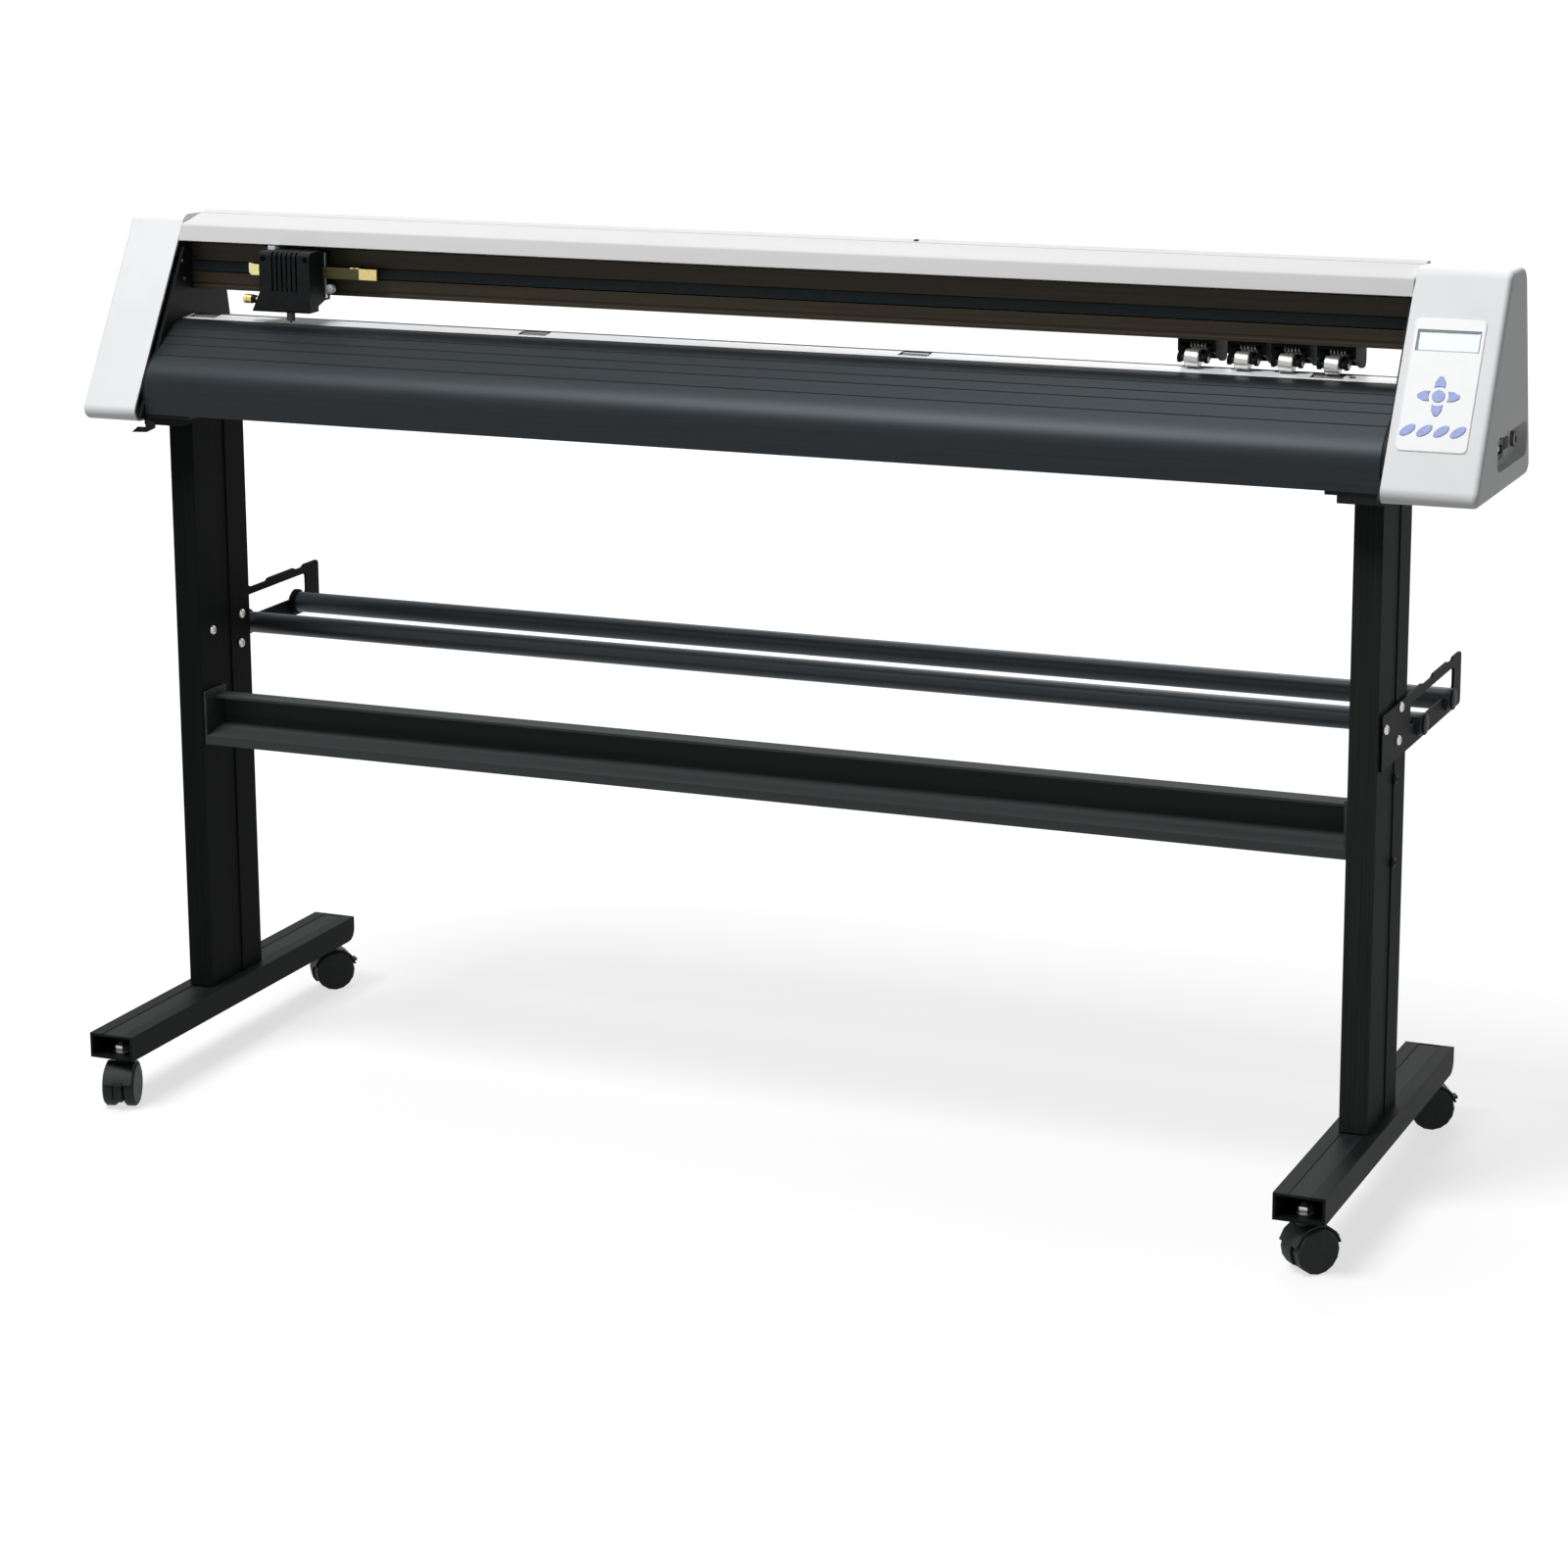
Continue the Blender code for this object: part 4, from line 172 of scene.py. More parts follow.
def finish(name, dark, light, scale=40.0, stretch=(1, 1, 1), rough=(0.35, 0.5), grain=900.0, bump=0.05,
           grain_stretch=(1, 1, 1), round_edge=0.0006, edge_wear_and_highlight=None, **sockets):
    """A material with mottled colour, varying roughness, a fine grain and softened edges, lightly recoloured
    partly for wear and partly as a painted highlight.
    """
    made = bpy.data.materials.new(name)
    made.use_nodes = True
    tree = made.node_tree
    shader = tree.nodes["Principled BSDF"]
    for key, value in sockets.items():
        shader.inputs[key.replace("_", " ")].default_value = value
    mottle = noise_of(tree, scale, stretch, MOTTLE_DETAIL)
    colour = ramp_of(tree, mottle, zip(MOTTLE_STOPS, (dark, light)))
    bevel = add(tree, "ShaderNodeBevel", samples=BEVEL_SAMPLES)
    bevel.inputs["Radius"].default_value = round_edge
    if edge_wear_and_highlight:
        blend = add(tree, "ShaderNodeMix", data_type="RGBA")
        thin = add(tree, "ShaderNodeMath", operation="MULTIPLY")
        tree.links.new(edge_mask(tree, bevel), thin.inputs[0])
        patches = noise_of(tree, EDGE_PATCH_FINENESS * scale, stretch, EDGE_PATCH_DETAIL)
        tree.links.new(patches, thin.inputs[1])
        tree.links.new(thin.outputs["Value"], blend.inputs["Factor"])
        tree.links.new(colour, blend.inputs[6])
        blend.inputs[7].default_value = (*edge_wear_and_highlight, 1)
        colour = blend.outputs[2]
    tree.links.new(colour, shader.inputs["Base Color"])
    fine = noise_of(tree, grain, grain_stretch, GRAIN_DETAIL)
    spread = add(tree, "ShaderNodeMapRange")
    spread.inputs["To Min"].default_value = rough[0]
    spread.inputs["To Max"].default_value = rough[1]
    tree.links.new(mottle, spread.inputs["Value"])
    tree.links.new(spread.outputs["Result"], shader.inputs["Roughness"])
    lift = add(tree, "ShaderNodeBump")
    lift.inputs["Strength"].default_value = bump
    lift.inputs["Distance"].default_value = GRAIN_DEPTH
    tree.links.new(fine, lift.inputs["Height"])
    tree.links.new(bevel.outputs["Normal"], lift.inputs["Normal"])
    tree.links.new(lift.outputs["Normal"], shader.inputs["Normal"])
    return made


# Stretches of the noise: drawn out along the machine, up a post and along a foot
ALONG = (0.02, 1, 1)
UPRIGHT = (1, 1, 0.02)
FOOTWAYS = (1, 0.05, 1)
# The cool reflections of black anodised metal
COOL_TINT = (0.78, 0.90, 1.0, 1)

white_shell = finish(
    "white_shell", (0.825, 0.835, 0.845), (0.865, 0.875, 0.885), 14.0, rough=(0.44, 0.54), grain=1500.0,
    bump=0.10, round_edge=0.0010, edge_wear_and_highlight=(0.76, 0.74, 0.70), Specular_IOR_Level=0.12,
)
white_paint = finish(
    "white_paint", (0.680, 0.685, 0.680), (0.720, 0.725, 0.720), 10.0, stretch=(0.15, 1, 1),
    rough=(0.46, 0.56), grain=1200.0, bump=0.06, round_edge=0.0008, edge_wear_and_highlight=(0.62, 0.61, 0.57),
    Specular_IOR_Level=0.02,
)
white_film = finish(
    "white_film", (0.92, 0.925, 0.93), (0.955, 0.96, 0.965), 60.0, rough=(0.32, 0.42), grain=2500.0,
    bump=0.04, round_edge=0.0003, Specular_IOR_Level=0.3,
)
blue_key = finish(
    "blue_key", (0.32, 0.39, 0.76), (0.41, 0.48, 0.84), 220.0, rough=(0.42, 0.55), grain=2500.0,
    bump=0.06, round_edge=0.0004, Specular_IOR_Level=0.3,
)
screen_glass = finish(
    "screen_glass", (0.73, 0.86, 0.87), (0.78, 0.90, 0.91), 900.0, stretch=(1, 0.4, 0.4),
    rough=(0.12, 0.20), grain=2600.0, bump=0.02, round_edge=0.0002, Specular_IOR_Level=0.3,
)
bezel_grey = finish(
    "bezel_grey", (0.36, 0.38, 0.44), (0.44, 0.46, 0.52), 300.0, rough=(0.35, 0.5), grain=2000.0,
)
# The bronze's lighter edge colour is partly wear and partly a painted highlight along the beam's lower lip
bronze = finish(
    "bronze_anodised", (0.027, 0.0210, 0.0108), (0.043, 0.0340, 0.0185), 260.0, stretch=ALONG,
    rough=(0.36, 0.48), grain=1800.0, bump=0.10, grain_stretch=ALONG, edge_wear_and_highlight=(0.16, 0.13, 0.09),
    Specular_IOR_Level=0.18,
)
platen_black = finish(
    "platen_black", (0.0055, 0.0068, 0.0076), (0.0095, 0.0115, 0.0130), 320.0, stretch=ALONG,
    rough=(0.39, 0.45), grain=2200.0, bump=0.12, grain_stretch=ALONG, round_edge=0.0003,
    Specular_IOR_Level=0.30, Specular_Tint=COOL_TINT,
)
profile_black = finish(
    "profile_black", (0.0070, 0.0083, 0.0080), (0.0112, 0.0124, 0.0118), 260.0, stretch=UPRIGHT,
    rough=(0.46, 0.58), grain=1800.0, bump=0.10, grain_stretch=UPRIGHT, edge_wear_and_highlight=(0.03, 0.03, 0.029),
    Specular_IOR_Level=0.02,
)
# A lighter copy of profile_black for the right upright: painted light, since that upright shows brighter lit
# than the left one
profile_black_lit = finish(
    "profile_black_lit", (0.0210, 0.0245, 0.0240), (0.0320, 0.0360, 0.0350), 260.0, stretch=UPRIGHT,
    rough=(0.46, 0.58), grain=1800.0, bump=0.10, grain_stretch=UPRIGHT, edge_wear_and_highlight=(0.05, 0.052, 0.05),
    Specular_IOR_Level=0.01,
)
foot_black = finish(
    "foot_black", (0.0046, 0.0055, 0.0056), (0.0094, 0.0106, 0.0110), 120.0, stretch=FOOTWAYS,
    rough=(0.44, 0.58), grain=1500.0, bump=0.12, grain_stretch=FOOTWAYS, edge_wear_and_highlight=(0.040, 0.042, 0.043),
    Specular_IOR_Level=0.05,
)
paint_black = finish(
    "paint_black", (0.0075, 0.0085, 0.0082), (0.0125, 0.0135, 0.0130), 60.0, rough=(0.44, 0.56),
    grain=1100.0, bump=0.14, edge_wear_and_highlight=(0.035, 0.036, 0.034), Specular_IOR_Level=0.10,
)
beam_paint = finish(
    "beam_paint", (0.0390, 0.0450, 0.0440), (0.0580, 0.0660, 0.0650), 60.0, stretch=ALONG,
    rough=(0.44, 0.56), grain=1100.0, bump=0.14, edge_wear_and_highlight=(0.035, 0.038, 0.037), Specular_IOR_Level=0.08,
)
bracket_paint = finish(
    "bracket_paint", (0.0034, 0.0042, 0.0040), (0.0066, 0.0074, 0.0070), 60.0, stretch=FOOTWAYS,
    rough=(0.46, 0.58), grain=1100.0, bump=0.14, edge_wear_and_highlight=(0.022, 0.024, 0.023), Specular_IOR_Level=0.03,
)
plastic_black = finish(
    "plastic_black", (0.0055, 0.0070, 0.0074), (0.0100, 0.0118, 0.0122), 160.0, rough=(0.40, 0.54),
    grain=1600.0, bump=0.14, edge_wear_and_highlight=(0.030, 0.034, 0.036), Specular_IOR_Level=0.09,
)
# A darker copy of plastic_black for the pinch brackets and arms: painted shade, so their lit faces read as
# dark as shaded ones
pinch_black_shaded = finish(
    "pinch_black_shaded", (0.0024, 0.0030, 0.0032), (0.0048, 0.0056, 0.0058), 160.0, rough=(0.42, 0.56),
    grain=1600.0, bump=0.14, edge_wear_and_highlight=(0.020, 0.022, 0.023), Specular_IOR_Level=0.04,
)
wheel_black = finish(
    "wheel_black", (0.0130, 0.0155, 0.0158), (0.0265, 0.0300, 0.0305), 110.0, rough=(0.46, 0.62),
    grain=1300.0, bump=0.16, edge_wear_and_highlight=(0.045, 0.046, 0.044), Specular_IOR_Level=0.18,
)
bar_black = finish(
    "bar_black", (0.0090, 0.0110, 0.0130), (0.0150, 0.0175, 0.0200), 240.0, stretch=ALONG,
    rough=(0.38, 0.48), grain=2000.0, bump=0.10, grain_stretch=ALONG, edge_wear_and_highlight=(0.05, 0.055, 0.06),
    Specular_IOR_Level=0.45, Specular_Tint=COOL_TINT,
)
steel = finish(
    "ground_steel", (0.60, 0.60, 0.59), (0.76, 0.76, 0.75), 500.0, stretch=(0.15, 1, 1),
    rough=(0.26, 0.40), grain=2600.0, bump=0.10, Metallic=0.9, edge_wear_and_highlight=(0.84, 0.84, 0.82),
)
roller_steel = finish(
    "roller_steel", (0.42, 0.42, 0.41), (0.56, 0.56, 0.55), 500.0, stretch=(0.15, 1, 1),
    rough=(0.28, 0.42), grain=2600.0, bump=0.10, Metallic=0.9, edge_wear_and_highlight=(0.70, 0.70, 0.68),
)
# Near-white and barely metallic: partly the steel's own pale tone, partly a painted highlight on the coils
spring_steel_highlit = finish(
    "spring_steel_highlit", (0.78, 0.78, 0.76), (0.88, 0.88, 0.86), 700.0, rough=(0.28, 0.4), grain=2600.0,
    Metallic=0.25,
)
# Near-white: a painted reflection of the white backdrop in the platen's glossy flat top
painted_reflection_white = finish(
    "painted_reflection_white", (0.90, 0.92, 0.93), (0.95, 0.96, 0.97), 260.0, stretch=ALONG, rough=(0.28, 0.40),
    grain=2000.0, bump=0.06, grain_stretch=ALONG, Metallic=0.15,
)
brass = finish(
    "brass", (0.60, 0.46, 0.16), (0.74, 0.60, 0.26), 420.0, rough=(0.26, 0.42), grain=2200.0, bump=0.08,
    Metallic=0.9, edge_wear_and_highlight=(0.85, 0.76, 0.46),
)
pale_brass = finish(
    "pale_brass", (0.70, 0.64, 0.26), (0.82, 0.77, 0.40), 420.0, rough=(0.28, 0.42), grain=2200.0,
    bump=0.08, Metallic=0.8, edge_wear_and_highlight=(0.90, 0.86, 0.60),
)
dull_brass = finish(
    "dull_brass", (0.045, 0.042, 0.014), (0.085, 0.078, 0.028), 300.0, stretch=ALONG,
    rough=(0.34, 0.48), grain=2200.0, bump=0.08, grain_stretch=ALONG, edge_wear_and_highlight=(0.30, 0.27, 0.11),
    Specular_IOR_Level=0.3,
)
holder_metal = finish(
    "holder_metal", (0.030, 0.028, 0.022), (0.060, 0.055, 0.042), 500.0, rough=(0.30, 0.44),
    grain=2200.0, Metallic=0.6,
)
bolt_metal = finish(
    "bolt_metal", (0.56, 0.56, 0.52), (0.72, 0.72, 0.68), 600.0, rough=(0.25, 0.42), grain=2400.0,
    Metallic=0.9,
)
bolt_dull = finish(
    "bolt_dull", (0.10, 0.10, 0.095), (0.18, 0.18, 0.17), 600.0, rough=(0.32, 0.46), grain=2400.0,
    Metallic=0.7,
)
bolt_black = finish(
    "bolt_black", (0.0035, 0.0038, 0.0036), (0.0070, 0.0074, 0.0070), 600.0, rough=(0.38, 0.52),
    grain=2400.0, Specular_IOR_Level=0.15,
)
# Near-black: painted shade where a hole is, laid on a shallow disc instead of a recess
hole_painted_shade = finish(
    "hole_painted_shade", (0.0010, 0.0012, 0.0014), (0.0022, 0.0024, 0.0026), 600.0, rough=(0.7, 0.85),
    grain=2400.0, Specular_IOR_Level=0.02,
)
belt_rubber = finish(
    "belt_rubber", (0.0260, 0.0340, 0.0360), (0.0350, 0.0450, 0.0475), 500.0, stretch=(0.3, 1, 1),
    rough=(0.55, 0.70), grain=1800.0, bump=0.2, grain_stretch=(6, 0.2, 0.2), Specular_IOR_Level=0.08,
)
track_grey = finish(
    "track_grey", (0.007, 0.0086, 0.0088), (0.023, 0.0265, 0.0270), 60.0, stretch=(1, 0.14, 1),
    rough=(0.5, 0.7), grain=900.0, bump=0.2, grain_stretch=(1, 0.1, 1), Specular_IOR_Level=0.1,
)
board_green = finish(
    "board_green", (0.012, 0.055, 0.030), (0.022, 0.090, 0.050), 300.0, rough=(0.35, 0.5), grain=2000.0,
)
nylon = finish(
    "nylon", (0.70, 0.75, 0.77), (0.80, 0.84, 0.86), 300.0, rough=(0.4, 0.55), grain=2000.0,
)

GROUPS = {
    white_shell: ("left_end_cap", "right_end_cap"),
    white_paint: ("top_cover",),
    white_film: ("keypad_overlay",),
    screen_glass: ("display_screen",),
    blue_key: ("up_key", "down_key", "left_key", "right_key", "centre_key", "function_key_1",
               "function_key_2", "function_key_3", "function_key_4"),
    bronze: ("rail_beam",),
    platen_black: ("platen",),
    profile_black: ("left_upright",),
    profile_black_lit: ("right_upright",),
    foot_black: ("left_foot", "right_foot"),
    paint_black: ("left_side_plate", "right_side_plate", "carriage_motor", "roller_motor"),
    beam_paint: ("cross_beam",),
    bracket_paint: ("left_roll_bracket", "right_roll_bracket"),
    plastic_black: ("carriage_plate", "carriage_cover", "power_switch", "idler_pulley"),
    pinch_black_shaded: ("pinch_bracket_1", "pinch_bracket_2", "pinch_bracket_3", "pinch_bracket_4", "pinch_arm_1",
                  "pinch_arm_2", "pinch_arm_3", "pinch_arm_4"),
    wheel_black: ("left_front_caster_wheels", "left_rear_caster_wheels", "right_front_caster_wheels",
                  "right_rear_caster_wheels", "left_front_caster_fork", "left_rear_caster_fork",
                  "right_front_caster_fork", "right_rear_caster_fork"),
    bar_black: ("front_media_bar", "rear_media_bar"),
    steel: ("drive_roller", "drive_pulley"),
    roller_steel: ("pinch_roller_1", "pinch_roller_2", "pinch_roller_3", "pinch_roller_4"),
    brass: ("clamp_screw", "roller_pinion"),
    holder_metal: ("blade_holder",),
    belt_rubber: ("timing_belt",),
    board_green: ("control_board",),
}
for material, names in GROUPS.items():
    for name in names:
        nodes[name].data.materials.clear()
        nodes[name].data.materials.append(material)


# Making pieces


def solid(name, bm, body, material):
    """Turns a mesh into a named piece that rides on a body."""
    bmesh.ops.remove_doubles(bm, verts=bm.verts, dist=WELD)
    bmesh.ops.recalc_face_normals(bm, faces=bm.faces)
    mesh = bpy.data.meshes.new(name)
    bm.to_mesh(mesh)
    bm.free()
    mesh.shade_smooth()
    mesh.set_sharp_from_angle(angle=PIECE_SHARP)
    obj = bpy.data.objects.new(name, mesh)
    bpy.context.scene.collection.objects.link(obj)
    mesh.materials.append(material)
    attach(obj, body)
    return obj


def basis(place, out, up=(0, 0, 1)):
    """A matrix whose Z points out of a surface at a place."""
    z = Vector(out).normalized()
    x = Vector(up).cross(z)
    if x.length < WELD:
        x = Vector((0, 1, 0)).cross(z)
    x.normalize()
    y = z.cross(x)
    turn = Matrix((x, y, z)).transposed().to_4x4()
    turn.translation = Vector(place)
    return turn


def ring_of(bm, radius, height, matrix, sides):
    """A ring of points about the matrix's Z, at a height."""
    ring = []
    for i in range(sides):
        angle = 2 * math.pi * i / sides
        place = Vector((radius * math.cos(angle), radius * math.sin(angle), height))
        ring.append(bm.verts.new(matrix @ place))
    return ring


def lathe(bm, profile, matrix, sides=24):
    """A solid of revolution about the matrix's Z, from (radius, height) points, bottom to top."""
    rings = []
    for radius, height in profile:
        if radius <= 0:
            rings.append([bm.verts.new(matrix @ Vector((0, 0, height)))])
        else:
            rings.append(ring_of(bm, radius, height, matrix, sides))
    for low, high in zip(rings, rings[1:]):
        for i in range(sides):
            j = (i + 1) % sides
            if len(low) == 1:
                bm.faces.new((low[0], high[j], high[i]))
            elif len(high) == 1:
                bm.faces.new((low[i], low[j], high[0]))
            else:
                bm.faces.new((low[i], low[j], high[j], high[i]))
    for ring in (rings[0], rings[-1]):
        if len(ring) > 1:
            bm.faces.new(ring)


def hollow_lathe(bm, profile, matrix, sides=24):
    """A ring of revolution: the profile closes on itself."""
    rings = [ring_of(bm, radius, height, matrix, sides) for radius, height in profile]
    for low, high in zip(rings, rings[1:] + rings[:1]):
        for i in range(sides):
            j = (i + 1) % sides
            bm.faces.new((low[i], low[j], high[j], high[i]))


def slab(bm, outline, low, high, matrix=Matrix.Identity(4)):
    """A prism over an outline of (a, b) points in the matrix's XY plane."""
    bottom = [bm.verts.new(matrix @ Vector((a, b, low))) for a, b in outline]
    top = [bm.verts.new(matrix @ Vector((a, b, high))) for a, b in outline]
    bm.faces.new(bottom[::-1])
    bm.faces.new(top)
    count = len(outline)
    for i in range(count):
        j = (i + 1) % count
        bm.faces.new((bottom[i], bottom[j], top[j], top[i]))


def framed(bm, outer, inner, low, high, inner_high, matrix):
    """A frame between two outlines of as many points, whose inner rim may stand at another height."""
    loops = []
    for outline, level in ((outer, low), (outer, high), (inner, inner_high), (inner, low)):
        loops.append([bm.verts.new(matrix @ Vector((a, b, level))) for a, b in outline])
    for one, two in zip(loops, loops[1:] + loops[:1]):
        for i in range(len(one)):
            j = (i + 1) % len(one)
            bm.faces.new((one[i], one[j], two[j], two[i]))


def tube(bm, points, radius, sides=8):
    """A tube along points that wind about X."""
    rings = []
    for i, point in enumerate(points):
        ahead = (points[min(i + 1, len(points) - 1)] - points[max(i - 1, 0)]).normalized()
        across = (Vector((1, 0, 0)) - ahead * ahead.x).normalized()
        turn = Matrix((across, ahead.cross(across), ahead)).transposed().to_4x4()
        turn.translation = point
        rings.append(ring_of(bm, radius, 0, turn, sides))
    for low, high in zip(rings, rings[1:]):
        for i in range(sides):
            j = (i + 1) % sides
            bm.faces.new((low[i], low[j], high[j], high[i]))
    bm.faces.new(rings[0])
    bm.faces.new(rings[-1])


def rounded_outline(width, height, radius, centre=(0, 0), steps=5):
    """The outline of a rectangle with rounded corners, as (a, b) points."""
    points = []
    for i, (sx, sy) in enumerate(((1, 1), (-1, 1), (-1, -1), (1, -1))):
        for step in range(steps + 1):
            angle = math.pi / 2 * (i + step / steps)
            a = centre[0] + sx * (width / 2 - radius) + radius * math.cos(angle)
            b = centre[1] + sy * (height / 2 - radius) + radius * math.sin(angle)
            points.append((a, b))
    return points


def surface(node, start, direction):
    """Where a ray meets a node's surface, and the face's normal there."""
    hit, place, normal, _ = nodes[node].ray_cast(Vector(start), Vector(direction))
    if not hit:
        raise ValueError("nothing of " + node + " lies that way")
    return place, normal


def bolt(bm, place, out, radius, height):
    """A button-head bolt with a round socket."""
    socket = 0.5 * radius
    profile = (
        (radius, SEAT),
        (radius, 0.35 * height),
        (0.86 * radius, 0.75 * height),
        (0.62 * radius, height),
        (socket, height),
        (0.92 * socket, 0.45 * height),
        (0, 0.40 * height),
    )
    lathe(bm, profile, basis(place, out))


# Prisms whose outline lies in the XZ plane, with depths along Y
FACING_FRONT = Matrix(((1, 0, 0, 0), (0, 0, 1, 0), (0, 1, 0, 0), (0, 0, 0, 1)))
# Prisms whose outline lies in the YZ plane, with depths along X
FACING_SIDE = Matrix(((0, 0, 1, 0), (1, 0, 0, 0), (0, 1, 0, 0), (0, 0, 0, 1)))

# The sloping front of the panel cap: across, along the slope and out of it
PANEL_SLOPE = math.hypot(CAP_LEAN, CAP_HEIGHT)
PANEL = Matrix((
    (1, 0, 0, HEAD_RIGHT - RIGHT_CAP_WIDTH / 2),
    (0, CAP_LEAN / PANEL_SLOPE, -CAP_HEIGHT / PANEL_SLOPE, CAP_FRONT_Y),
    (0, CAP_HEIGHT / PANEL_SLOPE, CAP_LEAN / PANEL_SLOPE, HEAD_BOTTOM),
    (0, 0, 0, 1),
))
PANEL_OUT = Vector(PANEL.col[2][:3])
SCREEN_MIDDLE = (-0.0047, 0.18015)
SCREEN_SIZE = (0.0651, 0.0227)
BEZEL_RIM = 0.0011
BEZEL_DEPTH = 0.0011
BEZEL_RADII = (0.0006, 0.0004)
KEY_LAMP_PLACE = (-0.0102, 0.0839)
KEY_LAMP = ((0.0011, 0.00005), (0.0010, 0.0003), (0.0005, 0.00045), (0, 0.0005))
# Turned pieces this small have fewer sides
SMALL_SIDES = 16
PANEL_LOOK = 0.02
OVERLAY_MIDDLE = (-0.0047, 0.13125)
OVERLAY_SIZE = (0.0725, 0.1455)
OVERLAY_RADIUS = 0.005
OVERLAY_TRIM = 0.0009
OVERLAY_TOP = 0.0011


def dress_panel():
    """The frame round the display, a bead round the overlay, and a lamp on the second function key."""
    bm = bmesh.new()
    loops = []
    for margin in (OVERLAY_TRIM, SEAT / 2):
        sides = [size + 2 * margin for size in OVERLAY_SIZE]
        loops.append(rounded_outline(*sides, OVERLAY_RADIUS + margin, OVERLAY_MIDDLE))
    framed(bm, *loops, SEAT / 2, OVERLAY_TOP / 2, OVERLAY_TOP - SEAT / 2, PANEL)
    solid("overlay_bead", bm, "frame", white_film)
    bm = bmesh.new()
    width, height = SCREEN_SIZE
    outer_radius, inner_radius = BEZEL_RADII
    outer = rounded_outline(width, height, outer_radius, SCREEN_MIDDLE)
    inner = rounded_outline(width - 2 * BEZEL_RIM, height - 2 * BEZEL_RIM, inner_radius, SCREEN_MIDDLE)
    framed(bm, outer, inner, -BEZEL_DEPTH, SEAT, 0, PANEL)
    solid("screen_bezel", bm, "frame", bezel_grey)
    bm = bmesh.new()
    above = PANEL @ Vector((*KEY_LAMP_PLACE, 0)) + PANEL_LOOK * PANEL_OUT
    place, out = surface("function_key_2", above, -PANEL_OUT)
    lathe(bm, KEY_LAMP, basis(place, out), SMALL_SIDES)
    solid("key_lamp", bm, "function_key_2", nylon)


RECESS_FLOOR_X = 0.808
SOCKET_FACE_X = 0.812
RECESS_Z = 0.8265
INLET_Y = 0.005
INLET_SIZE = (0.030, 0.020)
INLET_HOLE = (0.018, 0.010)
INLET_RADIUS = 0.002
# The inlet's shell stands this far past its outline and into its hole
INLET_RIM = 0.0004
PIN_SIZE = (0.0016, 0.005)
PIN_RADIUS = 0.0003
PINS_Y = (-0.0045, 0, 0.0045)
PIN_ROOT_X = 0.807
PIN_TIP_X = 0.8108
PORT_Y = 0.076
PORT_RADIUS = 0.008
PORT_BORE = 0.004
PORT_BEVEL = 0.0006


def dress_sockets():
    """The power inlet's shell, the port's ring and the inlet's pins, in the recess of the right side."""
    bm = bmesh.new()
    middle = (INLET_Y, RECESS_Z)
    rim = 2 * INLET_RIM
    outer = rounded_outline(INLET_SIZE[0] + rim, INLET_SIZE[1] + rim, INLET_RADIUS, middle)
    inner = rounded_outline(INLET_HOLE[0] - rim, INLET_HOLE[1] - rim, INLET_RADIUS, middle)
    front = SOCKET_FACE_X + 2 * SEAT
    framed(bm, outer, inner, RECESS_FLOOR_X + SEAT, front, front, FACING_SIDE)
    solid("inlet_shell", bm, "frame", plastic_black)
    bm = bmesh.new()
    ring = (
        (PORT_BORE - SEAT, RECESS_FLOOR_X + SEAT),
        (PORT_RADIUS + SEAT, RECESS_FLOOR_X + SEAT),
        (PORT_RADIUS + SEAT, front - PORT_BEVEL),
        (PORT_RADIUS - PORT_BEVEL, front),
        (PORT_BORE - SEAT, front),
    )
    hollow_lathe(bm, ring, basis((0, PORT_Y, RECESS_Z), (1, 0, 0)))
    solid("port_ring", bm, "frame", bolt_dull)
    bm = bmesh.new()
    for across in PINS_Y:
        pin = rounded_outline(*PIN_SIZE, PIN_RADIUS, (INLET_Y + across, RECESS_Z))
        slab(bm, pin, PIN_ROOT_X, PIN_TIP_X, FACING_SIDE)
    solid("inlet_pins", bm, "frame", bolt_metal)


# The sheet of painted reflection on the platen's flat top: its ends, its depths and the windows at the drums
STRIP_ENDS = (-0.7436, 0.7146)
STRIP_FRONT_Y = -0.0142
STRIP_BACK_Y = 0.0088
STRIP_THICKNESS = 0.0003
STRIP_LOOK_Z = 1
WINDOW_REACH = 0.0175
WINDOW_FRONT_Y = -0.0077
STRIP_SCREW = (0.6567, -0.0006)
STRIP_SCREW_HEAD = ((0.0038, 0.00005), (0.0038, 0.0003), (0.0026, 0.0004), (0.0022, 0.00015), (0, 0.00015))
# The open ends of the platen's nose, in front of the side plates
NOSE_END = ((-0.1050, 0.8095), (-0.1050, 0.8166), (-0.1027, 0.8305), (-0.0955, 0.8430), (-0.0876, 0.8503),
            (-0.0745, 0.8595), (-0.0739, 0.8595), (-0.0857, 0.8400), (-0.0978, 0.8200), (-0.1042, 0.8095))
NOSE_ENDS_X = {"left": (-0.7486, -0.7446), "right": (0.7156, 0.7196)}


